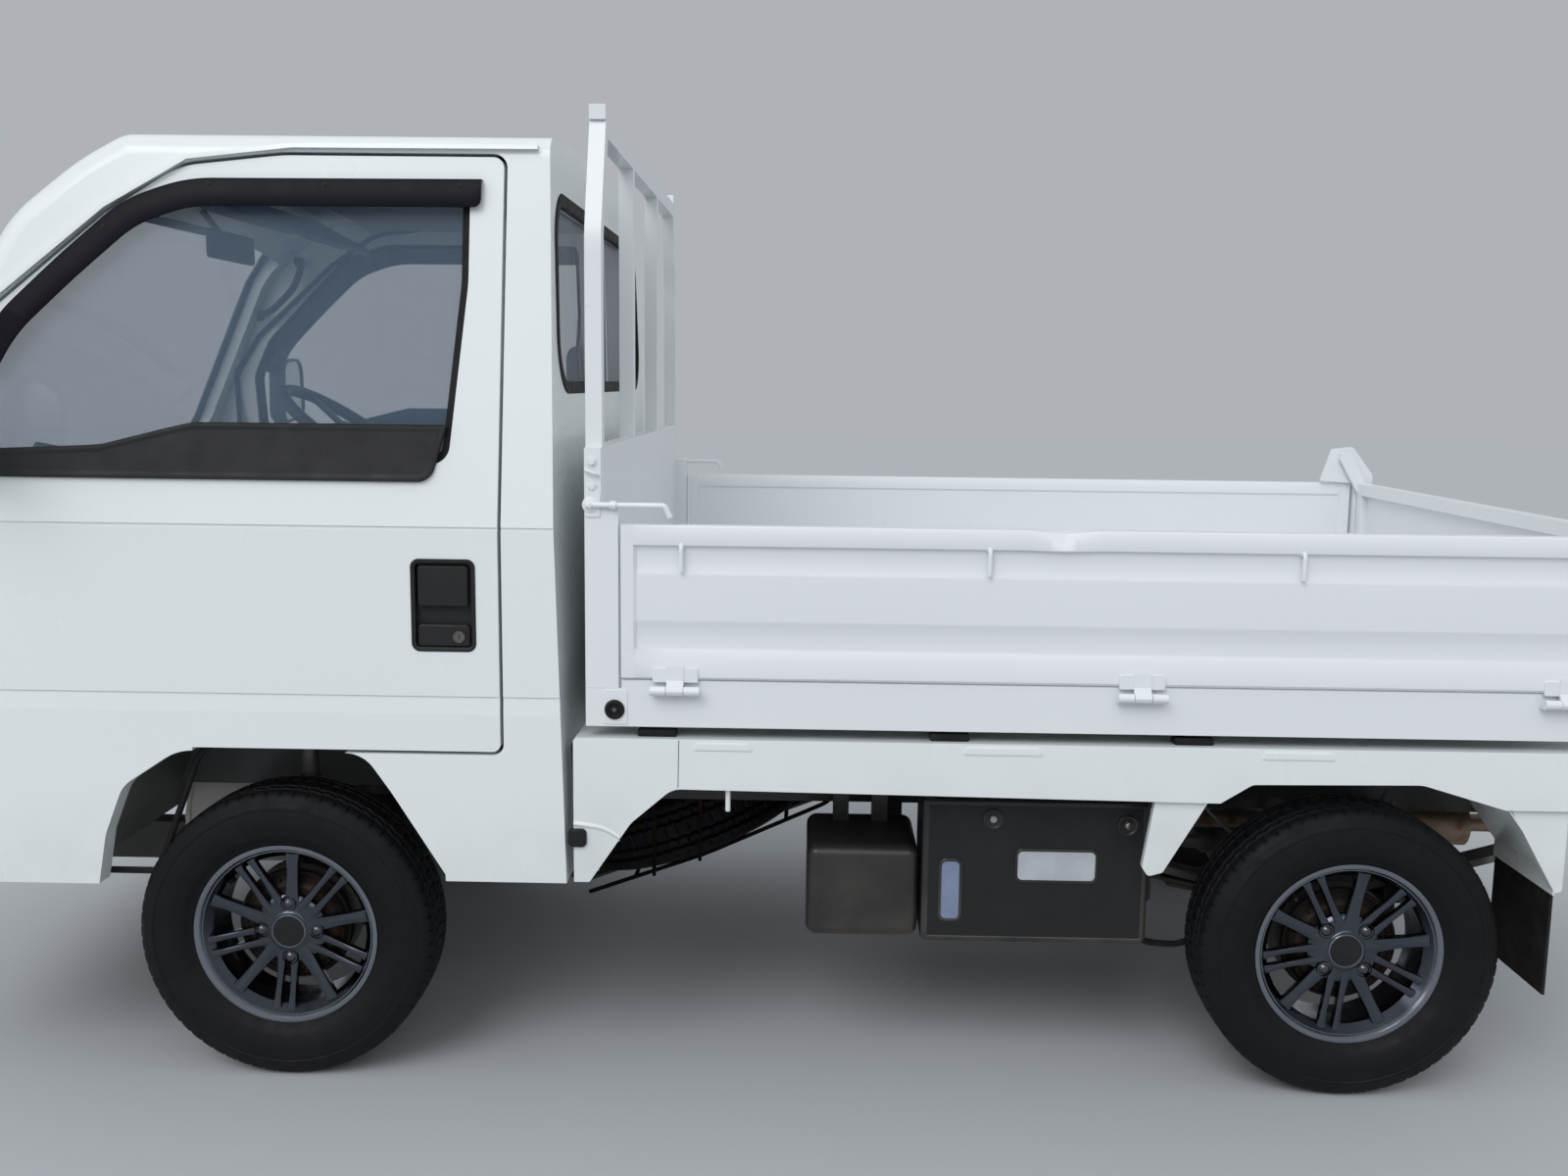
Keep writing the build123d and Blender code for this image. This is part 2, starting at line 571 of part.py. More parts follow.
def make_bumper():
    """The front bumper, a bar that follows the nose's plan curve below the nose panel."""
    top = NOSE_SILL - FIT
    side = outline([(BEHIND, 300), (FRONT_END - 65, 300, 30), (FRONT_END - 25, 335, 20), (FRONT_END, 400, 40),
                    (FRONT_END, 505, 25), (FRONT_END - 15, top, 8), (BEHIND, top)])
    core = outline([(BEHIND, 250), (FRONT_END - 60, 250), (FRONT_END - 60, 600), (BEHIND, 600)])
    hollow = cab_trimmed(core, 0) & box(0, 3000, CAB_WALL - HALF, HALF - CAB_WALL, 0, 700)
    left = [(DOOR_FRONT, HALF), (FRONT_END - 75, HALF, CAB_CORNER + 10), (FRONT_END - 25, HALF - 177), (3000, 0)]
    plan = outline(left + [(row[0], -row[1], *row[2:]) for row in reversed(left[:-1])])
    save("front_bumper", (cab_trimmed(side, 0) & along_z(plan, 0, 700)) - hollow)
    arms = []
    for y in WIPER_PIVOTS:
        rows = [(y, 1052), (y + 330, 1100), (y + 330, 1112), (y - 3, 1068)]
        arms.append(layer(-16, -8) & front_cut(rows))
    save("wipers", *arms)


# Wheels. Rows: y from the wheel's middle, radius, corner radius
TYRE_ROWS = [
    (50.5, 152.7), (50.5, 168), (60, 172, 4), (TYRE_WIDTH / 2, 206, 30), (71, 242, 25), (57, 263.5, 8),
    (0, TYRE_RADIUS), (-57, 263.5, 8), (-71, 242, 25), (-TYRE_WIDTH / 2, 206, 30), (-60, 172, 4),
    (-50.5, 168), (-50.5, 152.7),
]
BARREL_ROWS = [
    (-58, 150), (-58, FLANGE_RADIUS), (-51, FLANGE_RADIUS), (-51, BEAD_RADIUS), (51, BEAD_RADIUS),
    (51, FLANGE_RADIUS), (58, FLANGE_RADIUS), (58, 152), (46, 144), (-46, 144),
]
HUB_ROWS = [(HUB_FACE, 0), (HUB_FACE, HUB_PAD_RADIUS), (36, HUB_PAD_RADIUS - 4), (38, 32), (42, 30), (42, 0)]
SPOKE_ROWS = [(HUB_FACE, 40), (37, 34), (37, 60), (48, 146), (30, 146), (HUB_FACE + 2, 62)]


def wheel_turned(rows):
    """Revolve a (y, radius) outline about the wheel's axis at the origin."""
    return revolve(Plane.YZ * outline(rows), Axis.Y)


def spoke(width, aside=0):
    """One spoke, pointing up, as wide as given and set aside from the wheel's centre line."""
    return Pos(aside, 0, 0) * along_x(outline(SPOKE_ROWS), -width / 2, width / 2)


def make_wheels():
    """The alloy rims, the tyres and the spare wheel."""
    tyre = wheel_turned(TYRE_ROWS)
    barrel = wheel_turned(BARREL_ROWS)
    rim = barrel + wheel_turned(HUB_ROWS)
    step = 360 / (2 * SPOKE_PAIRS)
    for number in range(SPOKE_PAIRS):
        wide = Rot(0, 2 * number * step, 0)
        thin = Rot(0, (2 * number + 1) * step, 0)
        for shape in (wide * spoke(WIDE_SPOKE), thin * spoke(THIN_SPOKE, SPOKE_SPLIT),
                      thin * spoke(THIN_SPOKE, -SPOKE_SPLIT)):
            rim = rim + shape
    for number in range(LUG_COUNT):
        nut = Pos(0, 40, LUG_CIRCLE) * Rot(90, 0, 0) * Cylinder(9, 14)
        rim = rim + Rot(0, 45 + number * 360 / LUG_COUNT, 0) * nut
    for name, x in (("front", WHEELBASE), ("rear", 0)):
        for side, sign in (("left", 1), ("right", -1)):
            place = Pos(x, sign * TRACK / 2, WHEEL_Z)
            pick = 0 if sign > 0 else 1
            save(f"tyre_{name}_{side}", place * both_sides(tyre)[pick])
            save(f"rim_{name}_{side}", place * both_sides(rim)[pick])
    lay = Pos(*SPARE_CENTRE) * Rot(0, SPARE_TILT, 0) * Rot(90, 0, 0)
    save("spare_tyre", lay * tyre)
    save("spare_rim", lay * (barrel + wheel_turned([(10, 0), (10, 145), (22, 145), (22, 0)])))


def make_chassis():
    """The ladder frame with its tilt lugs, hoist foot, spring hangers and spare wheel cage."""
    rail = along_y(outline(RAIL_ROWS), RAIL_Y - RAIL_WIDTH / 2, RAIL_Y + RAIL_WIDTH / 2)
    lug_x, lug_z = TILT_PIVOT
    lug = along_y(outline([(lug_x - LUG_RADIUS, RAIL_TOP - 45), (lug_x - LUG_RADIUS, lug_z),
                           (lug_x + LUG_RADIUS, lug_z), (lug_x + LUG_RADIUS, RAIL_TOP - 10)]),
                  RAIL_Y - RAIL_WIDTH / 2, RAIL_Y + RAIL_WIDTH / 2)
    boss = Pos(lug_x, RAIL_Y, lug_z) * Rot(90, 0, 0) * Cylinder(LUG_RADIUS, RAIL_WIDTH)
    bore = Pos(lug_x, RAIL_Y, lug_z) * Rot(90, 0, 0) * Cylinder(TILT_PIN + RUNNING_GAP, 200)
    frame = rail + lug + boss - bore
    reach = RAIL_Y + RAIL_WIDTH / 2
    for x, z in SPRING_EYES:
        frame = frame + box(x - 20, x + 20, reach - 1, SPRING_Y + 25, z + SPRING_EYE + FIT, RAIL_TOP - 45)
    left, right = both_sides(frame)
    frame = left + right
    inner = RAIL_Y - RAIL_WIDTH / 2 + 1
    for x0, x1, z0, z1 in CROSS_MEMBERS:
        frame = frame + box(x0, x1, -inner, inner, z0, z1)
    foot_x, foot_z = HOIST_FOOT
    for side in both_sides(box(foot_x - 16, HOIST_BEAM + 5, EYE_HALF + 1, EYE_HALF + 9, foot_z - 24, foot_z + 24)):
        frame = frame + side
    frame = frame + Pos(foot_x, 0, foot_z) * Rot(90, 0, 0) * Cylinder(HOIST_PIN, 2 * EYE_HALF + 10)
    cage = along_y(strip(CAGE_LINE, -6), 75, 105)
    for side in both_sides(cage):
        frame = frame + side
    save("chassis_frame", frame)


def make_deck():
    """The fixed lower deck: skirts with the rear arches, top plate, stringers and rubber pads."""
    skirt = along_y(outline(SKIRT_ROWS), HALF - SKIRT_THICK, HALF)
    deck = box(DECK_REAR, DECK_FRONT - 5, -HALF + 1, HALF - 1, DECK_TOP - 8, DECK_TOP)
    deck = deck - box(HOIST_EYE[0] - 180, HOIST_FOOT[0] + 120, -150, 150, 0, 1000)
    stringer = box(DECK_REAR, DECK_FRONT - 5, RAIL_Y - 25, RAIL_Y + 25, RAIL_TOP + FIT, DECK_TOP - 7)
    outside = HALF - STAY_SETBACK
    stays = [along_y(outline(rows), outside - STAY_THICK, outside) for rows in (FRONT_STAY_ROWS, REAR_STAY_ROWS)]
    fender = along_y(strip(FENDER_LINE, FENDER_SHEET), FENDER_INNER, outside - 1)
    for shape in [skirt, stringer, fender] + stays:
        for side in both_sides(shape):
            deck = deck + side
    for x in DECK_BEARERS:
        bearer = box(x - 20, x + 20, RAIL_Y, HALF - 10, DECK_TOP - 60, DECK_TOP - 7)
        for side in both_sides(bearer):
            deck = deck + side
    for x in PAD_STATIONS:
        for side in both_sides(box(x - 30, x + 30, RAIL_Y - 20, RAIL_Y + 20, DECK_TOP - 1, BED_BOTTOM - FIT)):
            deck = deck + side
    save("lower_deck", deck)


def make_bed():
    """The tipping bed: floor with sills and hinge ears, headboard with guard, posts, latches."""
    wide = HALF - RAIL_SETBACK
    floor = box(BED_REAR, BED_FRONT, -wide, wide, FLOOR_TOP - FLOOR_THICK, FLOOR_TOP)
    side = box(BED_REAR, BED_FRONT, wide - SIDE_RAIL, wide, BED_BOTTOM, FLOOR_TOP)
    lip = box(BED_REAR, GATE_FRONT, wide - SIDE_RAIL, wide, FLOOR_TOP - 1, GATE_BOTTOM - SAFE_GAP)
    sill = box(BED_REAR + 60, BED_FRONT - 30, RAIL_Y - 25, RAIL_Y + 25, BED_BOTTOM, FLOOR_TOP - 10)
    pin_x, pin_z = TILT_PIVOT
    pin = Pos(pin_x, RAIL_Y, pin_z) * Rot(90, 0, 0) * Cylinder(TILT_PIN, RAIL_WIDTH + 44)
    gap = RAIL_WIDTH / 2 + SAFE_GAP
    parts = [side, lip, sill, pin]
    for y0, y1 in ((RAIL_Y - gap - 12, RAIL_Y - gap), (RAIL_Y + gap, RAIL_Y + gap + 12)):
        parts.append(Pos(pin_x, (y0 + y1) / 2, pin_z) * Rot(90, 0, 0) * Cylinder(20, y1 - y0))
        parts.append(box(pin_x, pin_x + 20, y0, y1, pin_z, FLOOR_TOP - 10))
    for x in GATE_HINGES:
        parts.append(hinge_leaf(x, wide, -1))
    for shape in parts:
        for half in both_sides(shape):
            floor = floor + half
    for x in BED_BEARERS:
        floor = floor + box(x - 20, x + 20, -wide + 5, wide - 5, FLOOR_TOP - FLOOR_THICK - 25, FLOOR_TOP - 10)
    eye_x, eye_z = HOIST_EYE
    ear = box(eye_x - 26, eye_x + 26, EYE_HALF + SAFE_GAP, EYE_HALF + SAFE_GAP + 8, eye_z - 20, FLOOR_TOP - 10)
    for half in both_sides(ear):
        floor = floor + half
    save("bed_floor", floor)

    base = FLOOR_TOP + FIT
    board = box(BED_FRONT - HEADBOARD_THICK, BED_FRONT, -wide, wide, base, HEADBOARD_TOP)
    guard = outline(GUARD_ROWS)
    for rows in GUARD_WINDOWS:
        guard = guard - outline(rows)
    board = board + along_x(guard, BED_FRONT - HEADBOARD_THICK, BED_FRONT)
    post = box(GATE_FRONT + SAFE_GAP, BED_FRONT, wide - 50, wide, base, HEADBOARD_TOP - 97)
    ear = GUARD_HALF - 63
    stub = box(BED_FRONT - HEADBOARD_THICK, BED_FRONT, ear - 22, ear, GUARD_TOP - 5, GUARD_TOP + 20)
    for half in both_sides(post) + both_sides(stub):
        board = board + half
    save("headboard", board)

    rear = box(BED_REAR - POST_WIDTH, BED_REAR - FIT, POST_INNER, wide, BED_BOTTOM, GATE_TOP + 7)
    plate = along_y(outline(BRACKET_ROWS), POST_INNER, POST_INNER + 8)
    pivot_x, pivot_z = TAILGATE_PIVOT
    bore = Pos(pivot_x, POST_INNER, pivot_z) * Rot(90, 0, 0) * Cylinder(TAIL_PIN + RUNNING_GAP, 60)
    save("rear_posts", *both_sides(rear + plate - bore))
    y = wide + FIT + LATCH_RADIUS
    hook = GATE_FRONT - 75
    latch = bent_rod([(BED_FRONT - 3, y, 1051), (hook, y, 1051), (hook - 9, y, 1031)], LATCH_RADIUS, 8)
    save("gate_latches", *both_sides(latch))


def hinge_leaf(x, wide, part):
    """One side of a gate hinge: part -1 is the bed's pair of knuckles, 1 the gate's middle one."""
    axis_y = HALF + GATE_HINGE_OUT
    knuckles = []
    spans = [(x - 42, x - 15.5), (x + 15.5, x + 42)] if part < 0 else [(x - 15, x + 15)]
    for x0, x1 in spans:
        barrel = Pos((x0 + x1) / 2, axis_y, HINGE_Z) * Rot(0, 90, 0) * Cylinder(HINGE_BARREL, x1 - x0)
        if part < 0:
            leaf = box(x0, x1, wide - 1, axis_y, HINGE_Z - HINGE_BARREL, HINGE_Z - 4)
        else:
            leaf = box(x0, x1, HALF - 4, HALF + 6, HINGE_Z - 2, HINGE_Z + 42)
            leaf = leaf + box(x0, x1, HALF + 1, axis_y, HINGE_Z - 2, HINGE_Z + HINGE_BARREL)
        knuckles.append(barrel + leaf)
    return fuse(*knuckles)


def make_gates():
    """The two side gates, hinged along their lower edge, and the tailgate, hung from its top."""
    gate = along_x(outline(GATE_ROWS), GATE_REAR, GATE_FRONT)
    for x in (GATE_REAR, GATE_FRONT - 22):
        gate = gate + box(x, x + 22, HALF - GATE_THICK, HALF, GATE_BOTTOM, GATE_TOP)
    for x in GATE_HINGES:
        gate = gate + hinge_leaf(x, 0, 1)
    for x in HOOK_STATIONS:
        gate = gate + bent_rod([(x, HALF - 10, 998), (x, HALF + 5, 998), (x, HALF + 5, 940)], 4, 6)
    save("side_gate_left", both_sides(gate)[0])
    save("side_gate_right", both_sides(gate)[1])

    front = BED_REAR - SAFE_GAP - 1
    wide = POST_INNER - SAFE_GAP
    end = wide - TAIL_ARM - FIT
    tail = along_y(outline([(front - GATE_THICK + HALF - y, z) for y, z in TAIL_ROWS]), -end, end)
    for y in (-end, end - 22):
        tail = tail + box(front - GATE_THICK, front, y, y + 22, TAIL_BOTTOM, GATE_TOP)
    pivot_x, pivot_z = TAILGATE_PIVOT
    foot = GATE_TOP - TAIL_ARM_REACH
    arm = along_y(outline([(pivot_x + 14, pivot_z - 6, 6), (pivot_x + 8, pivot_z + 14, 10),
                           (pivot_x - 16, pivot_z + 14, 10), (front - GATE_THICK, GATE_TOP - 30),
                           (front - GATE_THICK, foot), (front - 2, foot), (front - 2, GATE_TOP - 30)]),
                  wide - TAIL_ARM, wide)
    pin = Pos(pivot_x, POST_INNER, pivot_z) * Rot(90, 0, 0) * Cylinder(TAIL_PIN, 30)
    save("tailgate", tail, *both_sides(arm + pin))


def make_hoist():
    """The tipping cylinder: barrel on the chassis pin, rod with its eye between the bed's ears."""
    foot = Vector(HOIST_FOOT[0], 0, HOIST_FOOT[1])
    eye = Vector(HOIST_EYE[0], 0, HOIST_EYE[1])
    line = (eye - foot).normalized()
    width = 2 * EYE_HALF
    barrel = rod(foot + line * 40, foot + line * BARREL_LENGTH, HOIST_BARREL) + rod(foot, foot + line * 41, 15)
    barrel = barrel + Pos(*foot) * Rot(90, 0, 0) * Cylinder(HOIST_PIN + 12, width)
    barrel = barrel - rod(foot + line * ROD_START, foot + line * (BARREL_LENGTH + 1), HOIST_ROD + RUNNING_GAP)
    barrel = barrel - Pos(*foot) * Rot(90, 0, 0) * Cylinder(HOIST_PIN + RUNNING_GAP, 200)
    save("hoist_barrel", barrel)
    stem = rod(foot + line * (ROD_START + 5), eye, HOIST_ROD)
    save("hoist_rod", stem + Pos(*eye) * Rot(90, 0, 0) * Cylinder(22, width))


def make_running_gear():
    """The axles, springs, front arms, knuckles with their struts, and the steering rack."""
    half_track = TRACK / 2
    hub_end = half_track + HUB_FACE - FIT
    across = Rot(90, 0, 0)
    axle = Pos(0, 0, WHEEL_Z) * across * Cylinder(32, 2 * half_track - 160)
    axle = axle + Pos(0, 0, WHEEL_Z) * Sphere(82)
    for y0, y1, radius in ((half_track - 90, half_track - 25, DRUM_RADIUS), (half_track - 30, hub_end, 30)):
        for half in both_sides(Pos(0, (y0 + y1) / 2, WHEEL_Z) * across * Cylinder(radius, y1 - y0)):
            axle = axle + half
    save("rear_axle", axle)

    spring = along_y(strip(SPRING_LINE, 14), SPRING_Y - 25, SPRING_Y + 25)
    for x, z in SPRING_EYES:
        spring = spring + Pos(x, SPRING_Y, z) * across * Cylinder(SPRING_EYE, 50)
    save("leaf_springs", *both_sides(spring))

    beam = box(WHEELBASE - 30, WHEELBASE + 30, -RAIL_Y, RAIL_Y, 170, 225)
    rack = Pos(WHEELBASE - STEERING_ARM, 0, RACK_Z) * across * Cylinder(20, 360)
    rack = rack + box(WHEELBASE - STEERING_ARM, WHEELBASE - 25, -120, 120, RACK_Z - 14, RACK_Z - 4)
    rack = rack - Pos(WHEELBASE - STEERING_ARM, 0, RACK_Z) * across * Cylinder(RACK_RADIUS + RUNNING_GAP, 500)
    arms = beam + rack
    drop = box(WHEELBASE - 25, WHEELBASE + 25, RAIL_Y - 25, RAIL_Y + 22, 170, RAIL_TOP - RAIL_DEPTH - FIT)
    arm = along_z(outline([(WHEELBASE - 60, RAIL_Y - 20), (WHEELBASE + 60, RAIL_Y - 20),
                           (WHEELBASE + 22, KINGPIN_Y + 8, 15), (WHEELBASE - 22, KINGPIN_Y + 8, 15)]), 172, 190)
    for half in both_sides(drop + arm):
        arms = arms + half
    save("front_arms", arms)

    hub_x, kingpin = WHEELBASE, KINGPIN_Y
    strut = Pos(hub_x, kingpin, 0) * along_z(Circle(16), 190 + FIT, PAN_Z - FIT)
    strut = strut + Pos(hub_x, kingpin, 0) * along_z(Circle(20), 330, 520)
    hub = Pos(hub_x, (kingpin + hub_end) / 2, WHEEL_Z) * across * Cylinder(28, hub_end - kingpin)
    drum = Pos(hub_x, half_track - 42, WHEEL_Z) * across * Cylinder(DRUM_RADIUS, 36)
    lever = box(hub_x - STEERING_ARM - 12, hub_x, kingpin - 10, kingpin + 10, RACK_Z + RACK_RADIUS + SAFE_GAP,
                RACK_Z + RACK_RADIUS + SAFE_GAP + 14)
    knuckle = strut + hub + drum + lever
    save("knuckle_left", both_sides(knuckle)[0])
    save("knuckle_right", both_sides(knuckle)[1])
    bar = Pos(hub_x - STEERING_ARM, 0, RACK_Z) * across * Cylinder(RACK_RADIUS, 2 * (kingpin - 2))
    save("tie_rods", bar)


def make_underside():
    """The engine block, exhaust, tank, battery box, rear bumper, lamps, flaps and tow hook."""
    x0, x1, y0, y1, z0, z1 = ENGINE_BOX
    block = fillet(box(x0, x1, y0, y1, z0, z1).edges(), 12)
    mount = box(400, 440, -RAIL_Y - 15, RAIL_Y + 15, z1 - 20, RAIL_TOP - RAIL_DEPTH - FIT)
    save("engine_block", block + mount)
    hanger_top = DECK_TOP - 8 - FIT
    for node, (x0, x1, y0, y1, z0, z1), radius in (("battery_box", BATTERY_BOX, 14), ("fuel_tank", TANK_BOX, 20)):
        case = fillet(box(x0, x1, y0, y1, z0, z1).edges(), radius)
        for x in (x0 + 50, x1 - 80):
            case = case + box(x, x + 30, y0 + 20, y0 + 60, z1 - 20, hanger_top)
        save(node, case)
    muffler = rod((-380, MUFFLER_Y, MUFFLER_Z), (-60, MUFFLER_Y, MUFFLER_Z), 46)
    muffler = muffler + bent_rod([(-370, MUFFLER_Y, MUFFLER_Z), (-440, MUFFLER_Y, MUFFLER_Z), (-500, MUFFLER_Y, 350)],
                                 18, 30)
    muffler = muffler + rod((-70, MUFFLER_Y, MUFFLER_Z), (ENGINE_BOX[0] - FIT, MUFFLER_Y, MUFFLER_Z), 18)
    muffler = muffler + box(-385, -365, MUFFLER_Y - 15, MUFFLER_Y + 15, MUFFLER_Z, RAIL_TOP - RAIL_DEPTH - FIT)
    save("exhaust", muffler)

    lug_back = TILT_PIVOT[0] - LUG_RADIUS
    tail = -REAR_OVERHANG
    bar = box(tail, tail + 36, 97.5 - HALF, HALF - 97.5, 430, 495)
    for half in both_sides(box(tail + 30, lug_back - FIT, RAIL_Y - 20, RAIL_Y + 20, 501 - 50, 545 - 50)):
        bar = bar + half
    save("rear_bumper", bar)
    lamp = fillet(box(tail + 3, tail + 50, HALF - 257.5, HALF - 107.5, 495 + FIT, 580).edges(), 8)
    save("rear_lamps", *both_sides(lamp))
    flap_back = FLAP_X - FIT - FLAP_THICK
    flap = box(flap_back, FLAP_X - FIT, FENDER_INNER, HALF - STAY_SETBACK - STAY_THICK - FIT, 205, 414)
    save("mud_flaps", *both_sides(flap))
    ring = Pos(-512, 280, 395) * Rot(90, 0, 0) * (Cylinder(28, 12) - Cylinder(15, 20))
    stay = box(-490, -430, 274, 286, 385, 405) + box(-450, -430, 274, 310, 385, RAIL_TOP - RAIL_DEPTH - FIT)
    save("tow_hook", ring + stay)


make_cab()
make_doors(make_glass())
make_cab_inside()
make_bumper()
make_wheels()
make_chassis()
make_deck()
make_bed()
make_gates()
make_hoist()
make_running_gear()
make_underside()
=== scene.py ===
"""Looks of a kei truck with a tipping bed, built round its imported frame.

Metres, in the frame's own axes: X forward, Y to the truck's left, Z up from the ground.
"""

import json
import math

import bmesh
import bpy
from mathutils import Matrix, Vector
from mathutils.bvhtree import BVHTree


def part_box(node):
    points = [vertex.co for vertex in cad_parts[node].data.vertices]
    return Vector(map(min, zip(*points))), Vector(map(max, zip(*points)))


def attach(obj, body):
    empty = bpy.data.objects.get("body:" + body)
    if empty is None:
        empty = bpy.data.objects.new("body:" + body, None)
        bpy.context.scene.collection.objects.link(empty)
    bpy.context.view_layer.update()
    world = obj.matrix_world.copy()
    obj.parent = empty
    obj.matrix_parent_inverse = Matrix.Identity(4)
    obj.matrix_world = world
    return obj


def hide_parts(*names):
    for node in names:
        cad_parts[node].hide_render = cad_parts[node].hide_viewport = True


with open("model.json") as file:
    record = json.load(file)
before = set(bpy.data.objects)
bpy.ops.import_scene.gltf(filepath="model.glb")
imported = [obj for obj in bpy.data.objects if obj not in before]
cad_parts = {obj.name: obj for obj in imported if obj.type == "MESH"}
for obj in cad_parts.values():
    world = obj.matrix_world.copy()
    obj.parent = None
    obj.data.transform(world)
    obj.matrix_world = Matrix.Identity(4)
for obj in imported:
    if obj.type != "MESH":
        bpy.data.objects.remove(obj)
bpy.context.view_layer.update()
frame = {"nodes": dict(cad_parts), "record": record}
NODES = frame["nodes"]

# Places, read from the frame
TYRE_LOW, TYRE_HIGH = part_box("tyre_rear_left")
FRONT_LOW, FRONT_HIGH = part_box("tyre_front_left")
TYRE_RADIUS = (TYRE_HIGH.z - TYRE_LOW.z) / 2
REAR_AXLE_X = (TYRE_LOW.x + TYRE_HIGH.x) / 2
FRONT_AXLE_X = (FRONT_LOW.x + FRONT_HIGH.x) / 2
WHEEL_Y = (TYRE_LOW.y + TYRE_HIGH.y) / 2
MM = 0.001
SIDES = (("left", 1), ("right", -1))


def station(x):
    """A station forward of the rear axle, in millimetres, as the frame's X in metres."""
    return REAR_AXLE_X + x * MM


# Camera, fitted to the photograph of 1600 by 1200 pixels
PHOTO_WIDTH = 1600
FOCAL_PIXELS = 1481.2
CAMERA_AT = (station(967), 3.136, 1.260)
CAMERA_YAW = math.radians(1.02)
CAMERA_PITCH = math.radians(8.07)
CAMERA_ROLL = 0.0120


def placed(name, data):
    """A new object of some data, in the scene."""
    made = bpy.data.objects.new(name, data)
    bpy.context.collection.objects.link(made)
    return made


def make_camera():
    forward = Vector((math.sin(CAMERA_YAW) * math.cos(CAMERA_PITCH),
                      -math.cos(CAMERA_YAW) * math.cos(CAMERA_PITCH), -math.sin(CAMERA_PITCH)))
    level = forward.cross(Vector((0, 0, 1))).normalized()
    above = level.cross(forward)
    right = math.cos(CAMERA_ROLL) * level + math.sin(CAMERA_ROLL) * above
    up = right.cross(forward)
    data = bpy.data.cameras.new("camera")
    data.sensor_fit = "HORIZONTAL"
    data.sensor_width = 36
    data.lens = data.sensor_width * FOCAL_PIXELS / PHOTO_WIDTH
    data.clip_end = 100
    camera = placed("camera", data)
    camera.matrix_world = Matrix((right, up, -forward)).transposed().to_4x4()
    camera.location = CAMERA_AT
    bpy.context.scene.camera = camera


# Materials
def srgb(red, green, blue):
    """A colour read as 0 to 255, as Blender's linear values."""
    linear = []
    for value in (red, green, blue):
        share = value / 255
        linear.append(share / 12.92 if share <= 0.04045 else ((share + 0.055) / 1.055) ** 2.4)
    return (*linear, 1)


def shade(colour, share, lift=0.0):
    """The colour made darker or lighter by a share, and lifted."""
    return tuple(min(1, value * share + lift) for value in colour[:3]) + (1,)


class Surface:
    """A procedural material: a principled shader whose colour, roughness and bump are built up."""

    def __init__(self, name, colour, roughness, metallic=0.0, **sockets):
        self.material = bpy.data.materials.new(name)
        self.material.use_nodes = True
        self.tree = self.material.node_tree
        self.shader = self.tree.nodes["Principled BSDF"]
        self.shader.inputs["Roughness"].default_value = roughness
        self.shader.inputs["Metallic"].default_value = metallic
        for socket, value in sockets.items():
            self.shader.inputs[socket.replace("_", " ")].default_value = value
        self.place = self.node("ShaderNodeTexCoord").outputs["Object"]
        self.shader.inputs["Base Color"].default_value = colour
        self.colour = None
        self.base = colour

    def node(self, kind, **values):
        made = self.tree.nodes.new(kind)
        for name, value in values.items():
            setattr(made, name, value)
        return made

    def link(self, output, socket):
        self.tree.links.new(output, socket)

    def math(self, operation, first, second):
        made = self.node("ShaderNodeMath", operation=operation)
        for index, value in enumerate((first, second)):
            if isinstance(value, (int, float)):
                made.inputs[index].default_value = value
            else:
                self.link(value, made.inputs[index])
        return made.outputs[0]

    def noise(self, scale, low, high, detail=4, seed=0.0):
        """Noise from 0 to 1, stepped up between two of its levels."""
        made = self.node("ShaderNodeTexNoise", noise_dimensions="4D")
        made.inputs["W"].default_value = seed
        made.inputs["Scale"].default_value = scale
        made.inputs["Detail"].default_value = detail
        self.link(self.place, made.inputs["Vector"])
        return self.steps(made.outputs["Fac"], low, high)

    def steps(self, value, low, high):
        """0 to 1 as a value goes from low to high."""
        ramp = self.node("ShaderNodeMapRange", clamp=True)
        self.link(value, ramp.inputs["Value"])
        ramp.inputs["From Min"].default_value = low
        ramp.inputs["From Max"].default_value = high
        return ramp.outputs["Result"]

    def along(self, axis, low, high):
        """0 to 1 as a coordinate goes from low to high."""
        parts = self.node("ShaderNodeSeparateXYZ")
        self.link(self.place, parts.inputs[0])
        return self.steps(parts.outputs[axis], low, high)

    def tint(self, colour, mask, amount):
        """Mix the colour towards another where the mask is up."""
        mix = self.node("ShaderNodeMix", data_type="RGBA")
        self.link(self.math("MULTIPLY", mask, amount), mix.inputs["Factor"])
        if self.colour is None:
            mix.inputs["A"].default_value = self.base
        else:
            self.link(self.colour, mix.inputs["A"])
        mix.inputs["B"].default_value = colour
        self.colour = mix.outputs["Result"]
        self.link(self.colour, self.shader.inputs["Base Color"])

    def rough(self, mask, low, high):
        """Roughness from low to high with the mask."""
        span = self.node("ShaderNodeMapRange")
        self.link(mask, span.inputs["Value"])
        span.inputs["To Min"].default_value = low
        span.inputs["To Max"].default_value = high
        self.link(span.outputs["Result"], self.shader.inputs["Roughness"])

    def bump(self, height, distance, strength):
        made = self.node("ShaderNodeBump")
        made.inputs["Strength"].default_value = strength
        made.inputs["Distance"].default_value = distance
        self.link(height, made.inputs["Height"])
        self.link(made.outputs["Normal"], self.shader.inputs["Normal"])


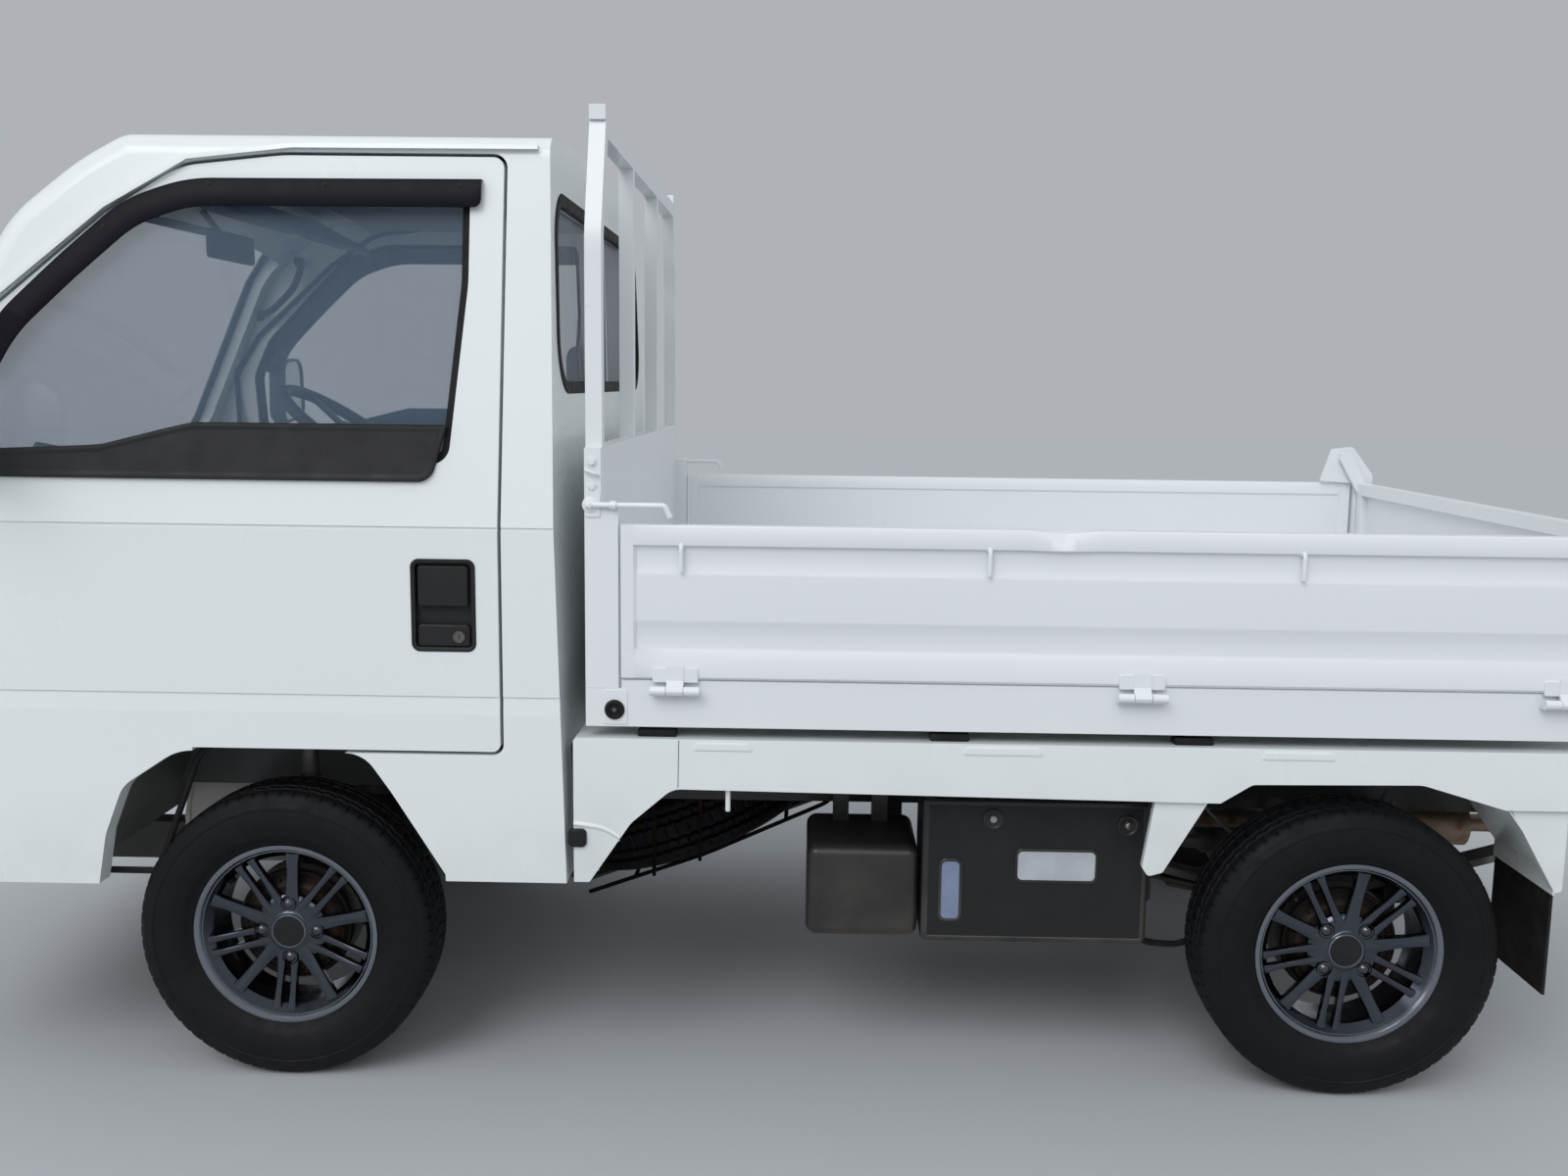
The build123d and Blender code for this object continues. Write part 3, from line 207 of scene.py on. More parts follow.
def paint(name, colour, dust=srgb(120, 112, 100), dust_top=0.55, rust=0.0, gloss=0.28):
    """Enamel with faint mottling, dust low down and a little rust where asked."""
    made = Surface(name, colour, gloss, Coat_Weight=0.25, Coat_Roughness=0.12)
    made.tint(shade(colour, 0.88), made.noise(1.3, 0.3, 0.85, 1), 0.35)
    low_down = made.math("SUBTRACT", 1.0, made.along("Z", 0.25, dust_top))
    made.tint(dust, made.math("MULTIPLY", low_down, made.noise(9, 0.3, 0.8)), 0.35)
    if rust:
        made.tint(srgb(112, 62, 34), made.noise(26, 0.70, 0.76, 8, seed=3.0), rust)
    made.rough(made.noise(5, 0.3, 0.7, 2), gloss - 0.02, gloss + 0.05)
    made.bump(made.noise(420, 0.2, 0.8, 2), 0.00012, 0.35)
    return made.material


def plastic(name, colour, roughness=0.5, grain=0.0002, grain_scale=900):
    """Moulded plastic, faintly chalky, with a fine grain."""
    made = Surface(name, colour, roughness, Specular_IOR_Level=0.38)
    made.tint(shade(colour, 1.5, 0.004), made.noise(18, 0.45, 0.8, 6), 0.5)
    made.rough(made.noise(30, 0.3, 0.7), roughness - 0.06, roughness + 0.1)
    made.bump(made.noise(grain_scale, 0.3, 0.7, 2), grain, 0.6)
    return made.material


def metal(name, colour, roughness, brushed=0.00004, rust=0.0):
    """Bare or plated metal, dulled in patches and with rust where asked."""
    made = Surface(name, colour, roughness, 1.0)
    made.tint(shade(colour, 0.6), made.noise(12, 0.45, 0.8, 6), 0.6)
    if rust:
        made.tint(srgb(104, 66, 42), made.noise(30, 0.55, 0.72, 8, seed=2.0), rust)
    made.rough(made.noise(24, 0.3, 0.7), max(roughness - 0.08, 0.05), roughness + 0.12)
    made.bump(made.noise(300, 0.3, 0.7, 3), brushed, 0.5)
    return made.material


def rubber(name, colour, dusty=0.3):
    """Matt rubber with dust in patches and near the ground."""
    made = Surface(name, colour, 0.62, Specular_IOR_Level=0.22)
    made.tint(srgb(74, 72, 70), made.noise(15, 0.5, 0.8, 8), dusty)
    made.tint(srgb(92, 86, 78), made.math("SUBTRACT", 1.0, made.along("Z", 0.02, 0.3)), dusty * 0.4)
    made.rough(made.noise(40, 0.3, 0.7), 0.52, 0.72)
    made.bump(made.noise(700, 0.3, 0.7, 3), 0.0002, 0.5)
    return made.material


def glass(name, tint, alpha):
    """Tinted glass that what lies behind shows through."""
    made = Surface(name, tint, 0.02, IOR=1.45, Alpha=alpha, Specular_IOR_Level=0.9)
    made.tint(shade(tint, 0.9), made.noise(3, 0.4, 0.7), 0.4)
    made.material.blend_method = "BLEND"
    return made.material


def cloth(name, colour, thread=0.0016):
    """Woven cloth, the thread's width in metres."""
    made = Surface(name, colour, 0.85, Sheen_Weight=0.25)
    threads = []
    for direction in ("X", "Y"):
        wave = made.node("ShaderNodeTexWave", wave_type="BANDS", bands_direction=direction)
        wave.inputs["Scale"].default_value = 0.5 / thread
        made.link(made.place, wave.inputs["Vector"])
        threads.append(wave.outputs["Fac"])
    both = made.math("MULTIPLY", *threads)
    made.tint(shade(colour, 0.55), both, 0.6)
    made.tint(srgb(120, 116, 110), made.noise(10, 0.5, 0.8), 0.25)
    made.bump(both, 0.0006, 0.8)
    return made.material


def lens(name, colour, roughness, **sockets):
    """A coloured or smoked moulding, faintly worn."""
    made = Surface(name, colour, roughness, **sockets)
    made.tint(shade(colour, 1.25, 0.002), made.noise(7, 0.45, 0.8), 0.5)
    made.rough(made.noise(24, 0.3, 0.7), roughness - 0.03, roughness + 0.06)
    return made.material


CAB_WHITE = paint("cab_white", srgb(226, 232, 233))
BED_WHITE = paint("bed_white", srgb(225, 229, 232), rust=0.12, gloss=0.34)
DECK_WHITE = paint("deck_white", srgb(225, 231, 232), rust=0.25, dust_top=0.66)
FRAME_BLACK = paint("frame_black", srgb(38, 36, 36), rust=0.35, gloss=0.6)
SATIN_BLACK = paint("satin_black", srgb(15, 15, 17), gloss=0.42)
HOOK_RED = paint("hook_red", srgb(205, 84, 48), rust=0.15, gloss=0.45)
FLOOR_GREY = paint("floor_grey", srgb(86, 88, 88), gloss=0.6)
BUMPER_GREY = plastic("bumper_grey", srgb(66, 67, 69), 0.6)
BLACK_PLASTIC = plastic("black_plastic", srgb(24, 24, 25), 0.5)
MOULDING = plastic("moulding_black", srgb(29, 29, 30), 0.55, 0.0004, 500)
TRIM_GREY = plastic("trim_grey", srgb(112, 114, 116), 0.62)
SEAT_CLOTH = cloth("seat_cloth", srgb(122, 124, 128))
WINDOW_GLASS = glass("window_glass", (0.16, 0.24, 0.34, 1), 0.22)
LAMP_CLEAR = glass("lamp_clear", (0.85, 0.88, 0.9, 1), 0.35)
VISOR_SMOKE = lens("visor_smoke", srgb(15, 14, 24), 0.38, Specular_IOR_Level=0.1)
LAMP_RED = lens("lamp_red", srgb(150, 20, 18), 0.15, Coat_Weight=0.5)
RIM_GUNMETAL = metal("rim_gunmetal", srgb(84, 87, 95), 0.17)
STEEL = metal("steel_grey", srgb(120, 118, 115), 0.5, rust=0.3)
BRIGHT = metal("bright_steel", srgb(190, 190, 190), 0.22)
EXHAUST = metal("exhaust_steel", srgb(140, 122, 106), 0.5, rust=0.7)
CAST = metal("cast_engine", srgb(110, 110, 108), 0.6, rust=0.15)
TYRE_RUBBER = rubber("tyre_rubber", srgb(13, 14, 17), 0.05)
FLAP_RUBBER = rubber("flap_rubber", srgb(27, 27, 28))
WINDOW_RUBBER = rubber("window_rubber", srgb(20, 20, 21), 0.15)
LINING = cloth("roof_cloth", srgb(132, 136, 140), 0.003)
VISOR_VINYL = plastic("visor_vinyl", srgb(92, 94, 98), 0.6, 0.0004, 500)
DOOR_VINYL = plastic("door_vinyl", srgb(96, 98, 102), 0.55, 0.0004, 450)
LAMP_BOWL = metal("lamp_bowl", srgb(206, 208, 210), 0.1, 0.0)
LAMP_GLASS = glass("lamp_bulb", (0.8, 0.85, 0.9, 1), 0.5)
AMBER = plastic("indicator_amber", srgb(196, 98, 26), 0.2, 0.00002)
TRIM_DARK = plastic("dash_plastic", srgb(58, 60, 62), 0.6)
FENDER_RUST = paint("fender_rust", srgb(196, 196, 188), srgb(120, 84, 54), 0.7, 0.85, 0.6)
# Dark grey for painted shade: the shadow in the groove where the deck's panels meet.
GROOVE_SHADE = plastic("groove_shade_dark", srgb(70, 72, 72), 0.7)
SIGHT_GLASS = plastic("sight_glass", srgb(120, 132, 158), 0.25, 0.00005)
LABEL_BLANK = plastic("label_blank", srgb(176, 180, 186), 0.35, 0.00003)
RUSTY_ROD = metal("rusty_rod", srgb(46, 38, 34), 0.75, rust=0.45)
MIRROR_GLASS = metal("mirror_glass", srgb(214, 216, 214), 0.04, 0.0)
RIM_LIP = metal("rim_polished", srgb(132, 136, 144), 0.2)
NUT_DARK = metal("nut_dark", srgb(92, 93, 98), 0.22)
CAP_BLACK = plastic("cap_black", srgb(20, 20, 22), 0.25, 0.00002)
POCKET_BLACK = metal("pocket_black", srgb(34, 35, 38), 0.4)
DRUM_IRON = metal("drum_iron", srgb(60, 56, 52), 0.65, rust=0.45)

LOOKS = {
    "white_paint": CAB_WHITE, "frame_paint": FRAME_BLACK, "black_metal": SATIN_BLACK,
    "hook_paint": HOOK_RED, "bumper_plastic": BUMPER_GREY, "black_plastic": BLACK_PLASTIC,
    "trim_plastic": TRIM_GREY, "cabin_floor": FLOOR_GREY, "seat_cloth": SEAT_CLOTH,
    "tinted_glass": WINDOW_GLASS, "lamp_clear": LAMP_CLEAR, "lamp_red": LAMP_RED,
    "rim_alloy": RIM_GUNMETAL, "steel_grey": STEEL, "bright_rod": BRIGHT,
    "exhaust_steel": EXHAUST, "cast_engine": CAST, "flap_rubber": FLAP_RUBBER, "tyre": TYRE_RUBBER,
}
NODE_LOOKS = {
    "bed_floor": BED_WHITE, "headboard": BED_WHITE, "rear_posts": BED_WHITE, "side_gate_left": BED_WHITE,
    "side_gate_right": BED_WHITE, "tailgate": BED_WHITE, "gate_latches": BED_WHITE,
    "lower_deck": DECK_WHITE,
}


def dress_nodes():
    """Give each node that shows its procedural material."""
    slots = {row["node"]: row["material_slot"] for row in frame["record"]["subparts"]}
    for name, node in NODES.items():
        look = NODE_LOOKS.get(name, LOOKS[slots[name]])
        node.data.materials.clear()
        node.data.materials.append(look)


# The stage: floor, backdrop and lights
PALE = (0.43, 0.45, 0.475, 1)
SKY = (0.95, 0.98, 1, 1)
SKY_RISE = 0.7
SKY_LOW, SKY_HIGH = 0.40, 0.84
SUN_POWER = 1.15
SUN_SPREAD = math.radians(35)
SUN_TURN = (math.radians(-48), 0, math.radians(-25))
LIGHT_AIM = Vector((0, 0, 0.6))
# Name, place and size in metres, power in watts
SOFTBOXES = [
    ("softbox_side", (-1.6, 5.5, 3.4), (4.5, 1.2), 26),
    ("softbox_front", (4.6, 2.5, 3.2), (2.5, 2.5), 18),
]


def make_floor():
    bpy.ops.mesh.primitive_plane_add(size=60)
    floor = bpy.context.object
    floor.name = "floor"
    look = Surface("floor_pale", PALE, 0.8)
    floor.data.materials.append(look.material)


def make_world():
    """A sky that lights the truck from above, shown as an even pale ground to what looks straight at it."""
    world = bpy.data.worlds.new("world")
    bpy.context.scene.world = world
    world.use_nodes = True
    tree = world.node_tree
    light = tree.nodes["Background"]
    light.inputs["Color"].default_value = SKY
    place = tree.nodes.new("ShaderNodeTexCoord")
    parts = tree.nodes.new("ShaderNodeSeparateXYZ")
    rise = tree.nodes.new("ShaderNodeMapRange")
    levels = {"From Min": 0.0, "From Max": SKY_RISE, "To Min": SKY_LOW, "To Max": SKY_HIGH}
    for socket, value in levels.items():
        rise.inputs[socket].default_value = value
    tree.links.new(place.outputs["Generated"], parts.inputs[0])
    tree.links.new(parts.outputs["Z"], rise.inputs["Value"])
    tree.links.new(rise.outputs["Result"], light.inputs["Strength"])
    seen = tree.nodes.new("ShaderNodeBackground")
    seen.inputs["Color"].default_value = PALE
    seen.inputs["Strength"].default_value = 1.0
    path = tree.nodes.new("ShaderNodeLightPath")
    mix = tree.nodes.new("ShaderNodeMixShader")
    shown = path.outputs["Is Camera Ray"]
    for ray in ("Is Glossy Ray", "Is Transmission Ray"):
        either = tree.nodes.new("ShaderNodeMath")
        either.operation = "MAXIMUM"
        tree.links.new(shown, either.inputs[0])
        tree.links.new(path.outputs[ray], either.inputs[1])
        shown = either.outputs[0]
    tree.links.new(shown, mix.inputs["Fac"])
    tree.links.new(light.outputs[0], mix.inputs[1])
    tree.links.new(seen.outputs[0], mix.inputs[2])
    tree.links.new(mix.outputs[0], tree.nodes["World Output"].inputs["Surface"])


def make_lights():
    data = bpy.data.lights.new("key", "SUN")
    data.energy = SUN_POWER
    data.angle = SUN_SPREAD
    placed("key", data).rotation_euler = SUN_TURN
    for name, spot, size, power in SOFTBOXES:
        data = bpy.data.lights.new(name, "AREA")
        data.shape = "RECTANGLE"
        data.size, data.size_y = size
        data.energy = power
        lamp = placed(name, data)
        lamp.location = spot
        lamp.rotation_euler = (LIGHT_AIM - lamp.location).to_track_quat("-Z", "Y").to_euler()


# Shapes
class Piece:
    """Meshes gathered into one object that rides on a body."""

    def __init__(self):
        self.points = []
        self.faces = []
        self.marks = []
        self.looks = []

    def add(self, points, faces, look, place=None):
        start = len(self.points)
        if place is not None:
            points = [place @ Vector(point) for point in points]
        self.points.extend(tuple(point) for point in points)
        self.faces.extend([start + index for index in face] for face in faces)
        if look not in self.looks:
            self.looks.append(look)
        self.marks.extend([self.looks.index(look)] * len(faces))

    def sheet(self, points, look):
        """One face over a ring of points."""
        self.add(points, [tuple(range(len(points)))], look)

    def rings(self, rings, look, place=None, closed=True, caps=False):
        """Skin rings of equal count. closed joins each ring's end to its start."""
        count = len(rings[0])
        points = [point for ring in rings for point in ring]
        faces = []
        for row in range(len(rings) - 1):
            for step in range(count if closed else count - 1):
                after = (step + 1) % count
                faces.append((row * count + step, row * count + after,
                              (row + 1) * count + after, (row + 1) * count + step))
        if caps:
            faces.append(tuple(reversed(range(count))))
            faces.append(tuple((len(rings) - 1) * count + step for step in range(count)))
        self.add(points, faces, look, place)

    def lathe(self, rows, look, place=None, steps=64):
        """Turn rows of (distance along Y, radius), in millimetres, about the Y axis."""
        rings = []
        for along, radius in rows:
            ring = []
            for step in range(steps):
                angle = step * math.tau / steps
                ring.append((radius * MM * math.sin(angle), along * MM, radius * MM * math.cos(angle)))
            rings.append(ring)
        self.rings(rings, look, place)

    def tube(self, points, radius, look, sides=10, bend=0.0):
        """A round bar along points in metres, its corners rounded to the bend."""
        path = rounded([Vector(point) for point in points], bend)
        rings = []
        side = None
        for index, point in enumerate(path):
            ahead = path[min(index + 1, len(path) - 1)] - path[max(index - 1, 0)]
            ahead.normalize()
            if side is None:
                side = ahead.orthogonal().normalized()
            side = (side - ahead * side.dot(ahead)).normalized()
            other = ahead.cross(side)
            rings.append([point + radius * (math.cos(step * math.tau / sides) * side
                                            + math.sin(step * math.tau / sides) * other)
                          for step in range(sides)])
        self.rings(rings, look, caps=True)

    def block(self, low, high, look, bevel=0.002, place=None, segments=2):
        """A box between corners in metres with rounded edges."""
        mesh = bmesh.new()
        bmesh.ops.create_cube(mesh, size=1)
        for vert in mesh.verts:
            for axis in range(3):
                vert.co[axis] = low[axis] if vert.co[axis] < 0 else high[axis]
        if bevel:
            bmesh.ops.bevel(mesh, geom=mesh.edges[:], offset=bevel, segments=segments, profile=0.5,
                            affect="EDGES")
        mesh.verts.index_update()
        points = [vert.co.copy() for vert in mesh.verts]
        faces = [[vert.index for vert in face.verts] for face in mesh.faces]
        mesh.free()
        self.add(points, faces, look, place)

    def make(self, name, body, angle=35, nodes=()):
        """Turn what was gathered into an object on its body."""
        mesh = bpy.data.meshes.new(name)
        mesh.from_pydata(self.points, [], self.faces)
        mesh.polygons.foreach_set("material_index", self.marks)
        for look in self.looks:
            mesh.materials.append(look)
        mesh.update()
        work = bmesh.new()
        work.from_mesh(mesh)
        bmesh.ops.recalc_face_normals(work, faces=work.faces[:])
        work.to_mesh(mesh)
        work.free()
        mesh.shade_smooth()
        mesh.set_sharp_from_angle(angle=math.radians(angle))
        made = placed(name, mesh)
        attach(made, body)
        if nodes:
            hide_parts(*nodes)


def rounded(points, bend, steps=5):
    """Points of a line whose corners are rounded."""
    if not bend:
        return points
    path = [points[0]]
    for before, corner, after in zip(points, points[1:], points[2:]):
        reach = min(bend, (corner - before).length * 0.49, (after - corner).length * 0.49)
        start = corner + (before - corner).normalized() * reach
        end = corner + (after - corner).normalized() * reach
        for step in range(steps + 1):
            share = step / steps
            path.append(start * (1 - share) ** 2 + corner * 2 * share * (1 - share) + end * share ** 2)
    path.append(points[-1])
    return path


def at(x, y, z):
    """A place from a station, Y and Z in millimetres."""
    return Vector((station(x), y * MM, z * MM))


def turned_to(place, axis, up=(0, 0, 1)):
    """A matrix at a place whose Y axis points along the given axis."""
    along = Vector(axis).normalized()
    side = along.cross(Vector(up))
    if side.length < 1e-6:
        side = Vector((1, 0, 0))
    side.normalize()
    top = side.cross(along)
    return Matrix.Translation(place) @ Matrix((side, along, top)).transposed().to_4x4()


def spun(degrees):
    """A turn about the Y axis."""
    return Matrix.Rotation(math.radians(degrees), 4, "Y")


# Wheels. Rows are (distance from the wheel's middle, radius) in millimetres
TREAD_PITCHES = 66
PITCH_STEPS = 7
GROOVES = (38.0, 18.0)
GROOVE_HALF = 2.9
GROOVE_DEPTH = 7.0
SHOULDER_DEPTH = 3.2
SHOULDER_FROM, SHOULDER_TO = 43, 56
# Cross cuts of the tread's blocks: from and to, and the step of the pitch at which they lie
SIPES = ((21, 35, 3), (-1, 13, 5))
SIPE_DEPTH = 3.0
TREAD_FOOT = 246
RIB_LOW, RIB_HIGH = 196, 232
RIB_COUNT = 160
RIB_HEIGHT = 0.1
SIDEWALL_ROWS = [
    (50.6, 153.0), (51.5, 158.5), (54.5, 164.0), (57.5, 169.5), (59.5, 174.0), (62.5, 178.0), (64.5, 180.5),
    (65.3, 181.8), (66.5, 183.2), (68.5, 189.0), (70.4, 196.0), (71.7, 203.0), (72.3, 208.0), (72.45, 211.0),
    (72.2, 213.0), (72.2, 218.0), (71.7, 224.0), (70.9, 230.0), (70.1, 233.0), (71.0, 234.5), (70.6, 239.5),
    (69.4, 241.5), (68.1, 243.5), (66.6, 248.0), (64.8, 252.0), (62.2, 256.2), (58.8, 260.0), (54.5, 262.7),
]
TREAD_ROWS = [49.5, 45.5, 42.5, 40.5, 38.0, 35.5, 32.0, 26.0, 22.5, 20.5, 18.0, 15.5, 13.0, 8.0, 4.0, 0.0]
TREAD_CROWN = TYRE_RADIUS / MM - 0.2
RIM_ROWS = [
    (51, 152.4), (51, 165.6), (57.6, 165.8), (57.9, 164.4), (57.9, 161.5), (56.8, 157.6), (54.6, 155.6),
    (49.0, 152.6), (46.0, 150.4), (44.5, 147.5), (42.5, 146.2), (34, 145.2), (6, 143), (-40, 143.5),
    (-46, 148), (-51, 152.4), (-51, 165.6), (-57.8, 165.6), (-57.8, 152), (-48, 140), (6, 138), (34, 139.5),
]
LIP_ROWS = 8
HUB_ROWS = [
    (24, 66), (30, 65), (34, 60), (36.5, 52), (37.5, 42), (39.5, 35.5), (40.5, 34.2), (40.5, 31.8),
    (37, 31.2),
]
DRUM_ROWS = [
    (20.5, 0.01), (20.5, 60), (20.5, 78), (17, 84), (12, 88), (12, 92), (4, 98), (4, 102), (-2, 104.5),
    (-2, 100),
]


def tread_drop(side, step):
    """How far the tread lies below the blocks' tops, in millimetres, by distance from the middle."""
    phase = step % PITCH_STEPS / PITCH_STEPS
    zigzag = 1.6 * (abs(2 * phase - 1) - 0.5)
    drop = 0.0
    for middle in GROOVES:
        inside = GROOVE_HALF - abs(side + zigzag - middle)
        if inside > 0:
            drop = max(drop, min(GROOVE_DEPTH, inside * 5))
    if side > SHOULDER_FROM and step % PITCH_STEPS == 0:
        if side < SHOULDER_TO:
            drop = max(drop, min(SHOULDER_DEPTH, (side - SHOULDER_FROM) * 0.6))
        else:
            drop = max(drop, SHOULDER_DEPTH - (side - SHOULDER_TO) * 0.4)
    for near, far, turn in SIPES:
        if near < side < far and step % PITCH_STEPS == turn:
            drop = max(drop, SIPE_DEPTH)
    return drop


def tyre_piece(name, place, body, node):
    """A tyre with its bead, ribbed sidewall, raised band and blocks of tread."""
    count = TREAD_PITCHES * PITCH_STEPS
    half = SIDEWALL_ROWS + [(y, TREAD_CROWN - 0.00062 * y * y) for y in TREAD_ROWS]
    rows = half + [(-y, radius) for y, radius in reversed(half[:-1])]
    rings = []
    for y, radius in rows:
        ring = []
        for step in range(count):
            angle = step * math.tau / count
            reach = radius
            if radius > TREAD_FOOT:
                reach -= tread_drop(abs(y), step)
            elif RIB_LOW < radius < RIB_HIGH:
                reach += RIB_HEIGHT * math.sin(angle * RIB_COUNT)
            ring.append((reach * MM * math.sin(angle), y * MM, reach * MM * math.cos(angle)))
        rings.append(ring)
    piece = Piece()
    piece.rings(rings, TYRE_RUBBER, place)
    piece.lathe([(50.6, 153), (0, 158), (-50.6, 153)], TYRE_RUBBER, place, 48)
    piece.make(name, body, 28, (node,))


def spoke_rings(inner, outer, widths, tops, depth, splay=0.0, aside=0.0, ridge=1.6):
    """Cross-sections of a spoke that points up, from the hub out. Widths, tops in millimetres."""
    rings = []
    steps = 7
    for step in range(steps + 1):
        share = step / steps
        out = inner + (outer - inner) * share
        half = (widths[0] * (1 - share) + widths[1] * share) / 2
        half += 3.5 * (1 - share) ** 3 + 3.0 * share ** 6
        top = tops[0] + (tops[1] - tops[0]) * share - 3.0 * math.sin(math.pi * share)
        low = top - depth * (1.1 - 0.35 * share)
        middle = aside + splay * share
        section = [(-half + 1.5, low), (-half, low + 3), (-half, top - 3.2), (-half + 1.3, top - 1.0),
                   (-half * 0.35, top + ridge * 0.3), (half * 0.05, top + ridge * 0.8),
                   (half * 0.4, top + ridge * 0.3), (half - 1.3, top - 1.0), (half, top - 3.2),
                   (half, low + 3), (half - 1.5, low)]
        rings.append([((middle + u) * MM, v * MM, out * MM) for u, v in section])
    return rings


def rim_piece(name, place, turn, nut_turn, body, node):
    """An alloy rim with five wide spokes between five pairs of thin ones."""
    piece = Piece()
    piece.lathe(RIM_ROWS[:LIP_ROWS], RIM_LIP, place, 96)
    piece.lathe(RIM_ROWS[LIP_ROWS - 1:] + RIM_ROWS[:1], RIM_GUNMETAL, place, 96)
    for number in range(5):
        for angle, shape in ((36, spoke_rings(34, 147, (23, 19), (38, 45), 20)),
                             (0, spoke_rings(38, 147, (12, 11), (37.5, 45), 18, 2.0, 11.5, 1.0)),
                             (0, spoke_rings(38, 147, (12, 11), (37.5, 45), 18, -2.0, -11.5, 1.0))):
            piece.rings(shape, RIM_GUNMETAL, place @ spun(number * 72 + angle - turn), caps=True)
    piece.lathe(HUB_ROWS, RIM_GUNMETAL, place, 64)
    piece.lathe([(37, 31.4), (41.2, 31.2), (42, 30.4), (42, 28.8), (41.2, 28.3)], RIM_LIP, place, 64)
    piece.lathe([(41.2, 28.4), (41.6, 24), (42, 14), (42, 0.01)], CAP_BLACK, place, 64)
    piece.lathe([(24, 66), (22, 60), (22, 0.01)], RIM_GUNMETAL, place, 48)
    for number in range(4):
        spot = place @ spun(number * 90 + nut_turn) @ Matrix.Translation((0, 0, 50 * MM))
        piece.lathe([(30, 15.5), (36.5, 15), (38.8, 13.8), (38.8, 12.6), (31, 11.2), (31, 0.01)],
                    POCKET_BLACK, spot, 28)
        piece.lathe([(31, 9.6), (38, 9.6)], NUT_DARK, spot, 6)
        piece.lathe([(38, 9.6), (40.6, 7.4), (42.5, 4.2), (43.1, 0.01)], NUT_DARK, spot, 20)
    valve = place @ spun(18 - turn) @ Matrix.Translation((0, 0, 137 * MM))
    piece.lathe([(22, 4.5), (40, 4.2), (44, 3.0), (50, 3.0), (50, 0.01)], FLAP_RUBBER, valve, 12)
    piece.make(name, body, 30, (node,))


def drum_piece(name, place, body):
    """The brake drum that shows between the spokes, with its cooling fins."""
    piece = Piece()
    piece.lathe(DRUM_ROWS, DRUM_IRON, place, 72)
    for number in range(24):
        piece.block((-0.0015, 0.010, 0.080), (0.0015, 0.0175, 0.092), DRUM_IRON, 0.0006,
                    place @ spun(number * 15), 1)
    piece.make(name, body, 30)


def make_wheels():
    for end, x, turn, nuts in (("front", FRONT_AXLE_X, -31, 0), ("rear", REAR_AXLE_X, -27, 45)):
        for side, sign in SIDES:
            place = Matrix.Translation((x, sign * WHEEL_Y, TYRE_RADIUS))
            if sign < 0:
                place = place @ Matrix.Rotation(math.pi, 4, "Z")
            body = f"wheel_{end}_{side}"
            tyre_piece(f"tyre_detail_{end}_{side}", place, body, f"tyre_{end}_{side}")
            rim_piece(f"rim_detail_{end}_{side}", place, turn, nuts, body, f"rim_{end}_{side}")
            drum_piece(f"drum_{end}_{side}", place, body)


# Outlines, in millimetres
def corner_arc(before, corner, after, radius, steps):
    """Points of the arc that rounds one corner of a flat outline."""
    back, ahead = (before - corner).normalized(), (after - corner).normalized()
    half = back.angle(ahead) / 2
    reach = min(radius / math.tan(half), (before - corner).length * 0.49, (after - corner).length * 0.49)
    start, end = corner + back * reach, corner + ahead * reach
    middle = corner + (back + ahead).normalized() * (reach / math.cos(half))
    radius = (start - middle).length
    points = []
    for step in range(steps + 1):
        aim = (start - middle).lerp(end - middle, step / steps)
        points.append(middle + aim.normalized() * radius)
    return points


def loop(rows, steps=5):
    """A closed outline from rows of (u, v) or (u, v, corner radius), in millimetres."""
    spots = [Vector(row[:2]) for row in rows]
    points = []
    for index, row in enumerate(rows):
        if len(row) > 2:
            after = spots[(index + 1) % len(rows)]
            points += corner_arc(spots[index - 1], spots[index], after, row[2], steps)
        else:
            points.append(spots[index])
    return points


def oblong(low, high, radii):
    """Rows for a rectangle between two corners. radii is one, or four from the low corner upwards."""
    if isinstance(radii, (int, float)):
        radii = (radii,) * 4
    spots = (low, (low[0], high[1]), high, (high[0], low[1]))
    return [(*spot, radius) for spot, radius in zip(spots, radii)]


def refined(points, reach):
    """The loop with points added, so that none is further than reach from the next."""
    finer = []
    for point, after in zip(points, points[1:] + points[:1]):
        runs = max(1, math.ceil((after - point).length / reach))
        finer.extend(point.lerp(after, share / runs) for share in range(runs))
    return finer


def inset_loop(points, distance):
    """The outline moved inwards by a distance, corner by corner."""
    points = [a for a, b in zip(points, points[-1:] + points[:-1]) if (a - b).length > 0.01]
    area = sum(a.x * b.y - b.x * a.y for a, b in zip(points, points[1:] + points[:1]))
    sign = 1 if area > 0 else -1
    moved = []
    for index, point in enumerate(points):
        back = (point - points[index - 1]).normalized()
        ahead = (points[(index + 1) % len(points)] - point).normalized()
        normal = Vector((-back.y - ahead.y, back.x + ahead.x)) * sign
        moved.append(point + normal.normalized() * distance / max(0.5, math.cos(back.angle(ahead) / 2)))
    return moved


def scaled_loop(points, share):
    """The outline scaled about its middle."""
    middle = sum(points, Vector((0, 0))) / len(points)
    return [middle + (point - middle) * share for point in points]


def stepped(outline, rows, place, shape=inset_loop):
    """One ring for each row of (inset, depth), or of (share of the size, depth) with scaled_loop."""
    return [[place(point.x, point.y, deep) for point in shape(outline, amount)] for amount, deep in rows]


def filled(piece, outline, rows, look, place, shape=inset_loop):
    """A raised or sunk pad of stepped rings, the last of them filled."""
    rings = stepped(outline, rows, place, shape)
    piece.rings(rings, look)
    piece.sheet(rings[-1], look)


